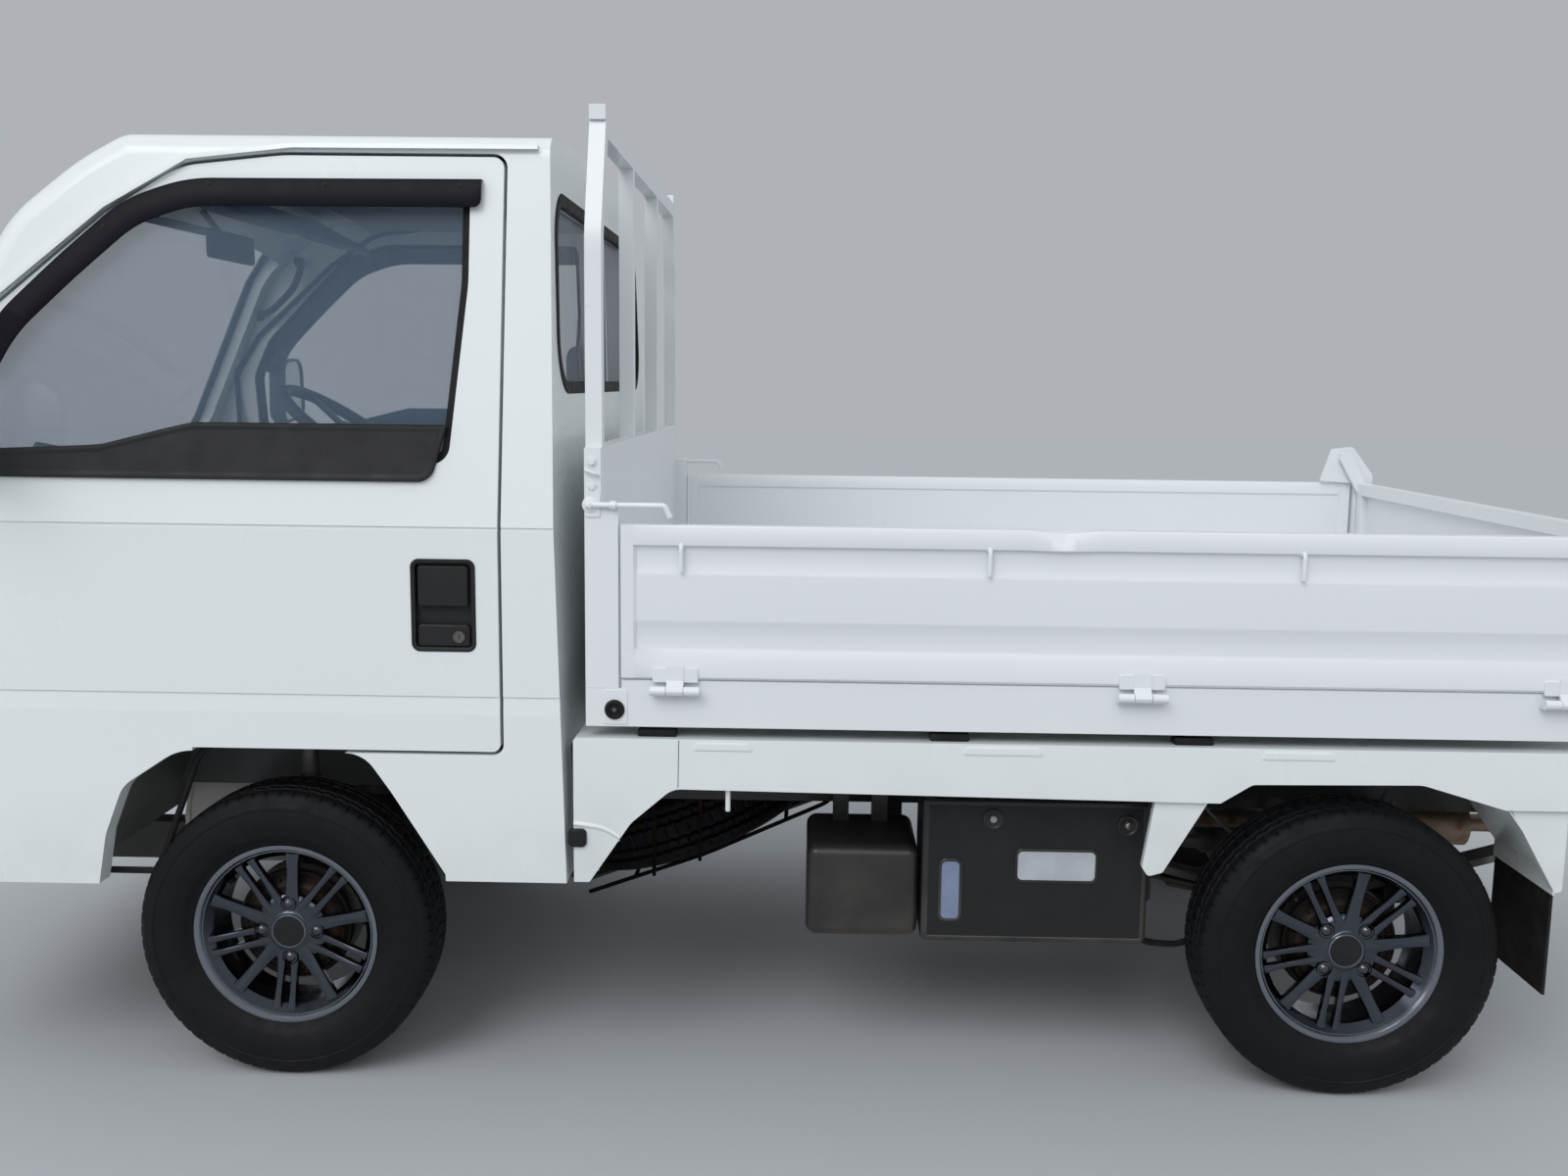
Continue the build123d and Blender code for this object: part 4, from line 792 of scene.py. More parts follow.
def frame_strip(piece, rows, spread, depth, look, place, steps=6, bulge=1.0):
    """A moulded strip along a closed outline: spread and depth are its (from, to) in millimetres."""
    inner, outer = spread
    low, high = depth
    section = [(inner, high), (inner, low + bulge), (inner + bulge, low), (outer - bulge, low),
               (outer, low + bulge), (outer, high), ((inner + outer) / 2, high)]
    rings = stepped(loop(rows, steps), section, place)
    piece.rings(rings + rings[:1], look)


def screw(piece, spot, axis, radius, look):
    """A domed screw head in metres on its washer, facing along an axis."""
    size = radius / MM
    rows = [(0, 0.01), (0, size * 1.5), (size * 0.2, size * 1.5), (size * 0.25, size),
            (size * 0.6, size * 0.92), (size * 0.85, size * 0.6), (size * 0.6, size * 0.4),
            (size * 0.55, 0.01)]
    piece.lathe(rows, look, turned_to(spot, axis), 20)


def bolt(piece, spot, axis, radius, height, look, washer=True):
    """A hexagonal head with a chamfer on a washer, sizes in metres."""
    place = turned_to(spot, axis)
    size, tall = radius / MM, height / MM
    if washer:
        piece.lathe([(0, 0.01), (0, size * 1.35), (1.6, size * 1.35), (1.6, 0.01)], look, place, 20)
    piece.lathe([(1.4, size), (tall * 0.82, size), (tall, size * 0.84), (tall, 0.01)], look, place, 6)


# The cab's faces, in millimetres: station or y, height, and the corner radius of outlines
CAB_HALF = 697.5
BELT = 1007
SIDE_LEAN = 111.5 / 664
CAB_SILL = 386
CAB_BACK = 1385
BACK_LEAN = math.tan(math.radians(1.6))
PLAN_CENTRE = -300
FRONT_PROFILE = [
    (2712, 600), (2712, 700), (2704, 880), (2690, 1007), (2450, 1481), (2408, 1545), (2340, 1602),
    (2260, 1655), (2180, 1690),
]
WINDOW_ROWS = [
    (1584, 1115, 32), (1555, 1420, 200), (1555, 1590, 22), (2040, 1590, 200), (2150, 1556, 120),
    (2358, 1352, 120), (2405, 1262, 80), (2405, 1115, 32),
]
SCREEN_ROWS = [(600, 1085, 70), (530, 1588, 70), (-530, 1588, 70), (-600, 1085, 70)]
REAR_WINDOW_ROWS = [(590, 1243, 90), (560, 1580, 90), (-560, 1580, 90), (-590, 1243, 90)]
DOOR_ROWS = [
    (1492, 614, 20), (1492, 1640, 25), (1880, 1640, 300), (2060, 1620, 150), (2185, 1538, 120),
    (2385, 1365, 90), (2455, 1265, 60), (2455, 374, 10), (2120, 374, 10), (2030, 614, 60),
]
DASH_BEND = 960
BUMPER_FRONT = 2715
# The bumper's face falls back below (-1) or above (1) a height, by a share of the distance
BUMPER_SLOPES = [(400, -1, 0.385), (334.3, -1, 0.795), (505, 1, 0.295)]


def on_side(sign):
    """Maps (station, z, depth into the cab's side) in millimetres to a place."""
    def place(u, v, depth):
        half = CAB_HALF if v < BELT else CAB_HALF - (v - BELT) * SIDE_LEAN
        return at(u, sign * (half - depth), v)
    return place


def on_plane(y, sign=1):
    """Maps (station, z, depth) in millimetres to an upright plane along the truck."""
    return lambda u, v, depth: at(u, sign * (y - depth), v)


def across(x, sign=1):
    """Maps (y, z, depth) in millimetres to an upright plane across the truck."""
    return lambda u, v, depth: at(x + depth, sign * u, v)


def front_x(z):
    """The station of the cab's front on the truck's middle line at a height."""
    for (x0, z0), (x1, z1) in zip(FRONT_PROFILE, FRONT_PROFILE[1:]):
        if z0 <= z <= z1:
            return x0 + (x1 - x0) * (z - z0) / (z1 - z0)
    return FRONT_PROFILE[-1][0]


def on_front(u, v, depth):
    """Maps (y, z, depth into the curved front) in millimetres to a place."""
    radius = front_x(v) - PLAN_CENTRE - depth * 1.12
    return at(PLAN_CENTRE + math.sqrt(radius * radius - u * u), u, v)


def on_front_side(sign):
    """The front's map for the lamp of one side."""
    return lambda u, v, depth: on_front(sign * u, v, depth)


def on_back(u, v, depth):
    """Maps (y, z, depth into the cab's back wall) in millimetres to a place."""
    return at(CAB_BACK + (v - CAB_SILL) * BACK_LEAN + depth, u, v)


def on_bumper(u, v, depth):
    """Maps (y, z, depth) in millimetres to the face of the front bumper."""
    fall = sum(max(0, (v - z) * way) * share for z, way, share in BUMPER_SLOPES)
    radius = BUMPER_FRONT - fall - PLAN_CENTRE - depth
    return at(PLAN_CENTRE + math.sqrt(radius * radius - u * u), u, v)


def on_dash(u, v, depth):
    """Maps (y, z, depth) in millimetres to the dashboard's face, whose lean changes at a bend."""
    face = 2310 - (v - DASH_BEND) / 4 if v < DASH_BEND else 2310 + (v - DASH_BEND) * 2 / 11
    return at(face + depth, u, v)


# Rubber round the glass and the doors
def make_side_rubbers(side, sign):
    """The door window's rubber, outside and inside, and the seal of the door's opening."""
    window = Piece()
    frame_strip(window, WINDOW_ROWS, (-1.0, 13), (5, 11.6), WINDOW_RUBBER, on_side(sign))
    frame_strip(window, WINDOW_ROWS, (-2.0, 9), (17.4, 30), WINDOW_RUBBER, on_side(sign))
    window.make(f"window_rubber_{side}", f"door_{side}")
    seal = Piece()
    frame_strip(seal, DOOR_ROWS, (1, 12), (39.0, 47), WINDOW_RUBBER, on_side(sign), bulge=3)
    seal.make(f"door_seal_{side}", "root")


# The windscreen's rubber in section: rows of (inset from the opening, depth)
SCREEN_SECTION = [
    (14, 14), (14, 9), (11, 7.5), (1, 2.5), (-1, -1.8), (-7, -2.6), (-9.5, -0.8), (-9.5, 4), (0, 16),
]


def make_screen_rubber():
    """The windscreen's rubber, laid on the cab's own skin 12 mm outside the opening."""
    skin = BVHTree.FromPolygons([vert.co for vert in NODES["cab_body"].data.vertices],
                                [tuple(face.vertices) for face in NODES["cab_body"].data.polygons])
    edge = refined(loop(SCREEN_ROWS, 8), 35)
    behind = []
    for point in inset_loop(edge, -12):
        spot = on_front(point.x, point.y, 0)
        hit = skin.ray_cast(spot + Vector((0.5, 0, 0)), Vector((-1, 0, 0)))[0]
        behind.append(spot.x - hit.x)
    rings = [[on_front(point.x, point.y, deep) - Vector((gone, 0, 0))
              for point, gone in zip(inset_loop(edge, spread), behind)] for spread, deep in SCREEN_SECTION]
    screen = Piece()
    screen.rings(rings + rings[:1], WINDOW_RUBBER)
    screen.make("windscreen_rubber", "root")


def make_rear_rubber():
    """The rear window's rubber, proud of the cab's back wall."""
    back = Piece()
    frame_strip(back, REAR_WINDOW_ROWS, (-9, 14), (-2.5, 11.6), WINDOW_RUBBER, on_back, 8, 3)
    back.make("rear_window_rubber", "root")


def make_roof_inside():
    """The roof's lining, the sun visors and the grab handle of the far pillar."""
    lining = Piece()
    rows = [[at(x, y, 1652 - y * y * 0.00009 - max(0, x - 1990) ** 2 * 0.0007) for y in range(-560, 561, 40)]
            for x in range(1432, 2112, 40)]
    lining.rings(rows, LINING, closed=False)
    lining.rings([[point - Vector((0, 0, 0.004)) for point in row] for row in rows], LINING, closed=False)
    lining.make("roof_lining", "root")
    visors = Piece()
    for y0, y1 in ((40, 470), (-470, -40)):
        spot = turned_to(at(2118, (y0 + y1) / 2, 1592), (0, 1, 0)) @ spun(-28)
        half = (y1 - y0) / 2 * MM
        visors.block((-0.075, -half, -0.009), (0.075, half, 0.009), VISOR_VINYL, 0.008, spot, 4)
        visors.tube([at(2160, y0 - 6, 1600), at(2160, y1 + 6, 1600)], 0.005, BLACK_PLASTIC)
    visors.make("sun_visors", "root")
    grab = Piece()
    points = [at(2262, -569, 1545), at(2243, -532, 1532), at(2262, -528, 1478), at(2330, -548, 1420),
              at(2376, -590, 1412)]
    grab.tube(points, 0.0085, BLACK_PLASTIC, 12, 0.03)
    for spot in (points[0], points[-1]):
        foot = turned_to(spot, (0, 1, 0))
        grab.lathe([(-4, 0.01), (-4, 15), (3, 14), (6, 10), (6, 0.01)], BLACK_PLASTIC, foot, 20)
    grab.make("grab_handle", "root")


# Each door's card, black trim, handle and mirror
def make_door_card(side, sign):
    """The door's inner card with its armrest, winder, latch and pocket."""
    inner = CAB_HALF - 41
    wall = on_plane(inner, sign)
    inwards = (0, -sign, 0)
    card = Piece()
    rows = [(1530, 640, 20), (1530, 1080, 25), (2295, 1080, 25), (2295, 640, 60), (2120, 640, 40)]
    filled(card, loop(rows, 4), [(0, 0), (0, 5), (3, 8), (40, 8), (44, 5.5), (52, 5.5), (56, 8), (90, 8.5)],
           DOOR_VINYL, wall)
    arm = loop([(1660, 868, 18), (1660, 915, 22), (1990, 925, 22), (1990, 880, 18)], 5)
    filled(card, arm, [(0, 8), (-1, 30), (4, 42), (11, 47)], DOOR_VINYL, wall)
    hub = wall(2075, 820, 8)
    card.lathe([(0, 28), (6, 27), (10, 20), (12, 0.01)], BLACK_PLASTIC, turned_to(hub, inwards), 28)
    crank = ((0, 0.012, 0), (-0.05, 0.024, -0.075), (-0.055, 0.026, -0.082))
    card.tube([hub + Vector((along, -sign * out, rise)) for along, out, rise in crank], 0.0065, BLACK_PLASTIC,
              10, 0.01)
    knob = turned_to(hub + Vector((-0.053, -sign * 0.022, -0.080)), inwards)
    card.lathe([(0, 0.01), (0, 8), (24, 9.5), (30, 8), (32, 0.01)], BLACK_PLASTIC, knob, 18)
    latch = wall(2180, 985, 8)
    reach = Vector((0.045, 0.004, 0.02))
    card.block(latch - reach, latch + reach, BLACK_PLASTIC, 0.003)
    card.block(latch + Vector((-0.03, -sign * 0.012 - 0.004, -0.008)),
               latch + Vector((0.028, -sign * 0.012 + 0.004, 0.008)), BRIGHT, 0.003)
    pocket = loop(oblong((2045, 668), (2275, 735), (14, 10, 10, 14)), 4)
    card.rings(stepped(pocket, [(0, 8), (1, 26), (4, 30), (9, 30), (9, 12)], wall), DOOR_VINYL)
    card.make(f"door_card_{side}", f"door_{side}")


VISOR_LINE = [(2398, 1276), (2357, 1353), (2256, 1452), (2145, 1551), (2038, 1588), (1547, 1590)]
VISOR_END = 1547
VISOR_SCREWS = [(1570, 1583), (1800, 1583), (2000, 1583), (2178, 1508)]
MOULDING_ROWS = [
    (1612, 1085, 30), (1586, 1181), (2020, 1181, 60), (2075, 1168, 60), (2180, 1141, 60), (2425, 1130),
    (2425, 1085, 20),
]
# The handle's pads: low and high corner, radii, steps of a corner, and rows of (inset, depth)
HANDLE_PADS = [
    ((1539, 798), (1645, 953), 12, 6,
     [(1, 12), (-2.5, 0.2), (-2.5, -1.2), (-1, -2.2), (3, -2.2), (5, -1), (6, 10), (7, 11)]),
    ((1549, 874), (1635, 944), 6, 5, [(2, 10), (0, 4), (0, -1.5), (1.5, -3.2), (4, -3.8), (5.5, -3.5)]),
    ((1547, 804), (1637, 842), (5, 8, 8, 5), 4, [(0, 11), (0, 2), (2, 0.2), (3, 0)]),
]


def visor_rings(place):
    """Cross-sections of the smoked visor over the window, its rear end rounded."""
    path = rounded([Vector(row) for row in VISOR_LINE], 45, 7)
    path += [path[-1] + Vector((-step, 0)) for step in (4, 8, 11, 13)]
    rings = []
    for index, point in enumerate(path):
        ahead = (path[min(index + 1, len(path) - 1)] - path[max(index - 1, 0)]).normalized()
        aside = Vector((ahead.y, -ahead.x))
        gone = max(0, VISOR_END - point.x) / 13
        low = -42 + 14 * (1 - math.sqrt(max(0, 1 - gone * gone)))
        section = [(5, 0.2), (5, -11.5), (2, -13.6), (low + 5, -13.9), (low, -12.8), (low - 0.6, -10.8),
                   (low, -9.3), (low + 5, -9.1), (1.6, -9.0), (2.6, 0.2)]
        rings.append([place(point.x + aside.x * off, point.y + aside.y * off, deep) for off, deep in section])
    return rings


def make_door_trim(side, sign):
    """The door's visor, waist moulding, handle and lock."""
    place = on_side(sign)
    trim = Piece()
    trim.rings(visor_rings(place), VISOR_SMOKE, caps=True)
    for x, z in VISOR_SCREWS:
        screw(trim, place(x, z, -13.7), (0, sign, 0.16), 0.0028, BLACK_PLASTIC)
    filled(trim, loop(MOULDING_ROWS, 6),
           [(0, 0.2), (0, -5), (2, -8.3), (5, -9), (8, -8.6), (10, -7.6), (13, -7.4)], MOULDING, place)
    for low, high, radii, steps, rows in HANDLE_PADS:
        filled(trim, loop(oblong(low, high, radii), steps), rows, BLACK_PLASTIC, place)
    lock = turned_to(place(1566, 821, 0), (0, sign, 0))
    trim.lathe([(-4, 10.5), (1.2, 10.5), (2.2, 9.6), (2.2, 8), (1.4, 7.6), (1.4, 0.01)], STEEL, lock, 28)
    trim.block((-0.0008, 0.0008, -0.0038), (0.0008, 0.0018, 0.0038), BLACK_PLASTIC, 0, lock)
    trim.make(f"door_trim_detail_{side}", f"door_{side}", 32, (f"door_trim_{side}",))


def make_mirror(side, sign):
    """The outside mirror: foot, bent arm, domed shell and its glass facing the rear."""
    mirror = Piece()
    stem = 2400
    low, high = CAB_HALF + 41, CAB_HALF + 202
    outline = loop([(low, 1130, 26), (low + 8, 1300, 34), (high - 14, 1311, 38), (high, 1150, 34)], 8)
    rows = [(0.90, -20), (0.915, -26.5), (0.94, -27.8), (0.985, -25), (1, -18), (1, -2), (0.975, 8),
            (0.90, 17), (0.72, 22.5), (0.4, 24.3), (0.05, 24.6)]
    shell = across(stem, sign)
    filled(mirror, outline, rows, BLACK_PLASTIC, shell, scaled_loop)
    mirror.sheet(stepped(outline, [(0.91, -22.5)], shell, scaled_loop)[0], MIRROR_GLASS)
    arm = [at(stem, sign * (CAB_HALF + out), z) for out, z in ((-7.5, 1100), (47.5, 1120), (77.5, 1180))]
    mirror.tube(arm, 0.009, BLACK_PLASTIC, 16, 0.02)
    foot = loop(oblong((stem - 22, 1079), (stem + 21, 1122), (8, 12, 12, 8)), 5)
    filled(mirror, foot, [(0, -9.4), (0, -12), (2, -14), (10, -15), (14, -15)], BLACK_PLASTIC, on_side(sign))
    mirror.make(f"mirror_detail_{side}", f"door_{side}", 40, (f"mirror_{side}",))


def make_cab_trim():
    for side, sign in SIDES:
        make_side_rubbers(side, sign)
        make_door_card(side, sign)
        make_door_trim(side, sign)
        make_mirror(side, sign)
    make_screen_rubber()
    make_rear_rubber()
    make_roof_inside()


# Seats: foam pads blown up as cloth, with their seams pressed in afterwards
PAD_VOXEL = 0.0095
PAD_CAP = 0.024
PAD_FRAMES = 20
PAD_PRESSURE = 4
SEAM_DEPTH = 0.006
SEAM_WIDTH = 0.006
SEAT_Y = 0.31
BACK_Z = 0.99


def baked(made):
    """The mesh of an object with its modifiers applied, as a new mesh."""
    shape = made.evaluated_get(bpy.context.evaluated_depsgraph_get())
    return bpy.data.meshes.new_from_object(shape)


def simulated(made):
    """Blow an object up as cloth, each point moved by no more than the cap, and keep the result."""
    start = [vert.co.copy() for vert in made.data.vertices]
    sim = made.modifiers.new("cloth", "CLOTH")
    sim.settings.use_pressure = True
    sim.settings.uniform_pressure_force = PAD_PRESSURE
    sim.settings.effector_weights.gravity = 0
    sim.settings.quality = 5
    sim.point_cache.frame_start = 1
    sim.point_cache.frame_end = PAD_FRAMES
    for step in range(1, PAD_FRAMES + 1):
        bpy.context.scene.frame_set(step)
    shape = baked(made)
    moves = [vert.co - start[vert.index] for vert in shape.vertices]
    drift = sum(moves, Vector()) / len(moves)
    for vert, move in zip(shape.vertices, moves):
        move = move - drift
        if move.length > PAD_CAP:
            move = move * (PAD_CAP / move.length)
        vert.co = start[vert.index] + move
    made.modifiers.clear()
    made.data = shape
    bpy.context.scene.frame_set(1)


def blown_up(name, piece):
    """A closed form remeshed, blown up and subdivided."""
    mesh = bpy.data.meshes.new(name)
    mesh.from_pydata(piece.points, [], piece.faces)
    made = placed(name, mesh)
    remesh = made.modifiers.new("remesh", "REMESH")
    remesh.mode = "VOXEL"
    remesh.voxel_size = PAD_VOXEL
    made.data = baked(made)
    made.modifiers.clear()
    simulated(made)
    smooth = made.modifiers.new("smooth", "SUBSURF")
    smooth.levels = smooth.render_levels = 1
    made.data = baked(made)
    made.modifiers.clear()
    return made


def press_seams(made, seams, facing):
    """Press sewn lines into the faces that look along a direction. A seam gives a point's distance."""
    work = bmesh.new()
    work.from_mesh(made.data)
    work.normal_update()
    for vert in work.verts:
        if vert.normal.dot(facing) < 0.35:
            continue
        gap = min(seam(vert.co) for seam in seams)
        vert.co -= vert.normal * SEAM_DEPTH * math.exp(-(gap / SEAM_WIDTH) ** 2)
    work.to_mesh(made.data)
    work.free()


def mirrored_copy(made, name):
    """The same pad on the other side of the truck."""
    mesh = made.data.copy()
    mesh.transform(Matrix.Scale(-1, 4, (0, 1, 0)))
    mesh.flip_normals()
    return placed(name, mesh)


def upholstered(outline, rows):
    """A closed form of an outline in side view, from rows of (inset, y) across the seat."""
    form = Piece()
    form.rings(stepped(outline, rows, on_plane(0, -1)), SEAT_CLOTH, caps=True)
    return form


def seat_forms():
    """Names, closed forms, seams and facing of the left seat's three pads."""
    cushion = Piece()
    low, high = at(1483, 98, 672), at(1936, 522, 764)
    cushion.block(low, high, SEAT_CLOTH, 0.034, segments=4)
    centre = (low + high) / 2
    half = (high - low) / 2
    border = [lambda p: abs(max(abs(p.x - centre.x) - half.x, abs(p.y - centre.y) - half.y) + 0.062)]
    border += [lambda p, off=off: abs(p.x - centre.x - off) + max(0, abs(p.y - centre.y) - half.y + 0.065)
               for off in (-0.09, 0.0, 0.09)]
    yield "cushion", cushion, border, Vector((0, 0, 1))

    rows = [(1484, 800, 12), (1484, 1174, 24), (1527, 1174, 18), (1586, 842, 30), (1586, 800, 20)]
    back = upholstered(loop(rows, 5), [(16, 108), (6, 112), (0, 124), (0, 496), (6, 508), (16, 512)])
    edge = [lambda p: abs(max(abs(p.y - SEAT_Y) - 0.145, abs(p.z - BACK_Z) - 0.135))]
    edge += [lambda p, off=off: abs(p.z - BACK_Z - off) + max(0, abs(p.y - SEAT_Y) - 0.145)
             for off in (-0.065, 0.0, 0.065)]
    yield "back", back, edge, Vector((1, 0, 0.2)).normalized()

    head = upholstered(loop(oblong((1474, 1238), (1534, 1338), (22, 26, 26, 22)), 5),
                       [(14, 206), (4, 212), (0, 222), (0, 398), (4, 408), (14, 414)])
    yield "head", head, [lambda p: abs(abs(p.y - SEAT_Y) - 0.075)], Vector((1, 0, 0))


def make_seat_frames():
    """The head restraints' rods, the hinges, levers and rails of both seats."""
    frames = Piece()
    for sign in (1, -1):
        for y in (250, 370):
            frames.tube([at(1500, sign * y, 1165), at(1500, sign * y, 1250)], 0.006, BRIGHT, 14)
            collar = turned_to(at(1500, sign * y, 1188), (0, 0, 1), (0, 1, 0))
            frames.lathe([(0, 0.01), (0, 11), (5, 10), (7, 6.2)], BLACK_PLASTIC, collar, 18)
        for y in (96, 524):
            hinge = loop([(1478, 700, 14), (1474, 850, 12), (1512, 850, 12), (1560, 700, 14)], 4)
            rows = [(2, y - 8), (0, y - 6), (0, y + 6), (2, y + 8)]
            frames.rings(stepped(hinge, rows, on_plane(0, -sign)), BLACK_PLASTIC, caps=True)
        lever = [at(1530, sign * 530, 690), at(1560, sign * 536, 700), at(1640, sign * 536, 712)]
        frames.tube(lever, 0.006, BLACK_PLASTIC, 12, 0.01)
        for y in (140, 480):
            frames.block(at(1500, sign * y - 14, 650), at(1930, sign * y + 14, 674), STEEL, 0.003)
    frames.make("seat_frames", "root")


def make_seats():
    for part, form, seams, facing in seat_forms():
        pad = blown_up(f"seat_{part}_left", form)
        press_seams(pad, seams, facing)
        twin = mirrored_copy(pad, f"seat_{part}_right")
        for made, side in ((pad, "left"), (twin, "right")):
            made.data.materials.clear()
            made.data.materials.append(SEAT_CLOTH)
            made.data.shade_smooth()
            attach(made, "root")
            if part == "cushion":
                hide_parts(f"seat_{side}")
    make_seat_frames()


# Side gates. Rows of the section: outwards from the outer face, z; the end bands use the full thickness
GATE_SECTION = [
    (-1.2, 755), (0, 757), (0, 790), (-6.2, 804), (-7, 808), (-7, 845), (-3.8, 852), (-3.6, 856), (-3.6, 932),
    (-3.8, 936), (-7, 943), (-7, 978), (-5.5, 981.5), (-0.6, 984), (0, 986), (0, 1015), (-1.6, 1018),
    (-28.4, 1018), (-30, 1015), (-30, 989), (-26, 984), (-26, 800), (-30, 795), (-30, 756),
]
GATE_REAR, GATE_FRONT = -435, 1288
GATE_HINGES = (1195, 398, -320)
GATE_HOOKS = (1185, 663, 136, -390)
HINGE_OUT, HINGE_Z = 12.5, 735
HINGE_TONGUE = [
    (2, 750), (2, 776), (5.5, 776), (6, 752), (12, 744.5), (19.2, 739), (20.5, 735), (18, 729.5), (12.5, 727),
    (7, 729.5), (4.6, 735), (5, 742),
]
# The dent: station of its middle and half its length, height from which it grows, inwards and downwards
DENT, DENT_REACH = 539, 62
DENT_FROM, DENT_TALL = 970, 48
DENT_IN, DENT_DOWN = 5.5, 6.5


def gate_ring(x, sign, band, dented):
    """One cross-section of a gate, with its dent where it has one."""
    ring = []
    near = max(0.0, 1 - abs(x - DENT) / DENT_REACH) if dented else 0.0
    for out, z in GATE_SECTION:
        if band:
            out = 0 if out > -10 else -30
        high = max(0.0, (z - DENT_FROM) / DENT_TALL) * near
        out -= DENT_IN * high * (1 if z > 1000 else -0.6) if out > -10 else 0
        z -= DENT_DOWN * high if out > -20 else 2.5 * high
        ring.append(at(x, sign * (CAB_HALF + out), z))
    return ring


def make_gate(side, sign, dented):
    """A side gate with its ribs, hinge plates and rope hooks."""
    gate = Piece()
    face = on_plane(CAB_HALF, sign)
    stops = [(GATE_REAR, True), (GATE_REAR + 21, True), (GATE_REAR + 27, False)]
    stops += [(x, False) for x in range(-400, 1260, 100)]
    if dented:
        stops += [(DENT + DENT_REACH * step / 8, False) for step in range(-8, 9)]
    stops += [(GATE_FRONT - 27, False), (GATE_FRONT - 21, True), (GATE_FRONT, True)]
    gate.rings([gate_ring(x, sign, band, dented) for x, band in sorted(stops)], BED_WHITE, caps=True)
    for x in GATE_HINGES:
        plate = loop(oblong((x - 39, 748), (x + 39, 774), (3, 5, 5, 3)), 3)
        filled(gate, plate, [(0, 1), (0, -3.2), (1, -4)], BED_WHITE, face)
        tongue = [[face(x + aside, z, -out) for out, z in HINGE_TONGUE] for aside in (-14.6, 14.6)]
        gate.rings(tongue, BED_WHITE, caps=True)
        pin = turned_to(face(x, HINGE_Z, -HINGE_OUT), (1, 0, 0))
        gate.lathe([(-14, 4.5), (-16.2, 4.5), (-16.2, 0.01)], STEEL, pin, 16)
    for x in GATE_HOOKS:
        gate.tube([face(x, 990, 9), face(x, 982, -3), face(x, 940, -3)], 0.004, BED_WHITE, 14, 0.008)
        gate.lathe([(-3, 8), (1, 7), (4, 4.4)], BED_WHITE, turned_to(face(x, 982, 5), (0, sign, -0.6)), 14)
    gate.make(f"gate_detail_{side}", f"side_gate_{side}", 30, (f"side_gate_{side}",))


# Fittings of the bed, the deck and what hangs beside the frame
def make_bed_fittings():
    """Bolts, hooks, latch pivots and gussets of the bed's front corners, and its side buttons."""
    bed = Piece()
    marks = Piece()
    for sign in (1, -1):
        out = (0, sign, 0)
        wall = on_plane(CAB_HALF - 5, sign)
        for z in (1124, 1082):
            bolt(bed, wall(1337, z, 0), out, 0.0065, 0.0055, BED_WHITE)
        ring = [wall(1347, 1112, 6), wall(1347, 1110, -9), wall(1327, 1103, -9), wall(1327, 1100, 6)]
        bed.tube(ring, 0.0026, BED_WHITE, 12, 0.006)
        pivot = turned_to(wall(1340, 1051, 0), out)
        bed.lathe([(-1, 14), (3, 13.5), (4, 12), (4, 0.01)], BED_WHITE, pivot, 28)
        bed.lathe([(4, 5), (12, 5), (12.6, 4), (12.6, 0.01)], BED_WHITE, pivot, 16)
        gusset = loop(oblong((1323, 1030), (1349, 1078), (4, 10, 4, 4)), 4)
        filled(bed, gusset, [(0, 1), (0, -1.8), (0.6, -2.4)], BED_WHITE, wall)
        collar = turned_to(wall(1300, 1051, -5.3), (1, 0, 0))
        bed.lathe([(-5, 5.3), (-5, 7.5), (5, 7.5), (5, 5.3)], BED_WHITE, collar, 18)
        hook = [at(-409, sign * 662, 1092), at(-409, sign * 672, 1097), at(-453, sign * 672, 1090),
                at(-460, sign * 672, 1015)]
        bed.tube(hook, 0.005, BED_WHITE, 14, 0.014)
        bolt(bed, at(-409, sign * 663, 1086), out, 0.010, 0.006, BED_WHITE)
        disc = turned_to(wall(1300, 698, 0), out)
        marks.lathe([(-1, 17.6), (4, 17.2), (6.5, 15), (7, 12.5), (5.4, 10.5), (3.4, 9.8), (3.4, 0.01)],
                    FLAP_RUBBER, disc, 36)
        bolt(marks, wall(1300, 698, -3), out, 0.004, 0.003, STEEL, False)
        strip = loop(oblong((1278, 672), (1319, 733), 4), 3)
        filled(bed, strip, [(0, 1), (0, -1.2), (0.8, -1.8)], BED_WHITE, wall)
    bed.make("bed_fittings", "bed")
    marks.make("bed_side_discs", "bed")


def make_deck_pads():
    """The rubber pads that the bed rests on, and a plug near the front of each side of the deck."""
    deck = Piece()
    plug = loop(oblong((1349, 453), (1382, 486), 9), 5)
    for sign in (1, -1):
        filled(deck, plug, [(1, 1), (1, -3.4), (0.95, -5.2), (0.8, -6.3), (0.5, -6.9), (0.03, -7.1)],
               CAP_BLACK, on_plane(CAB_HALF, sign), scaled_loop)
        for x in (1228, 721, 300):
            deck.block(at(x - 34, sign * 668 - 16, 647), at(x + 34, sign * 668 + 16, 662), FLAP_RUBBER, 0.004)
    deck.make("deck_pads", "root")


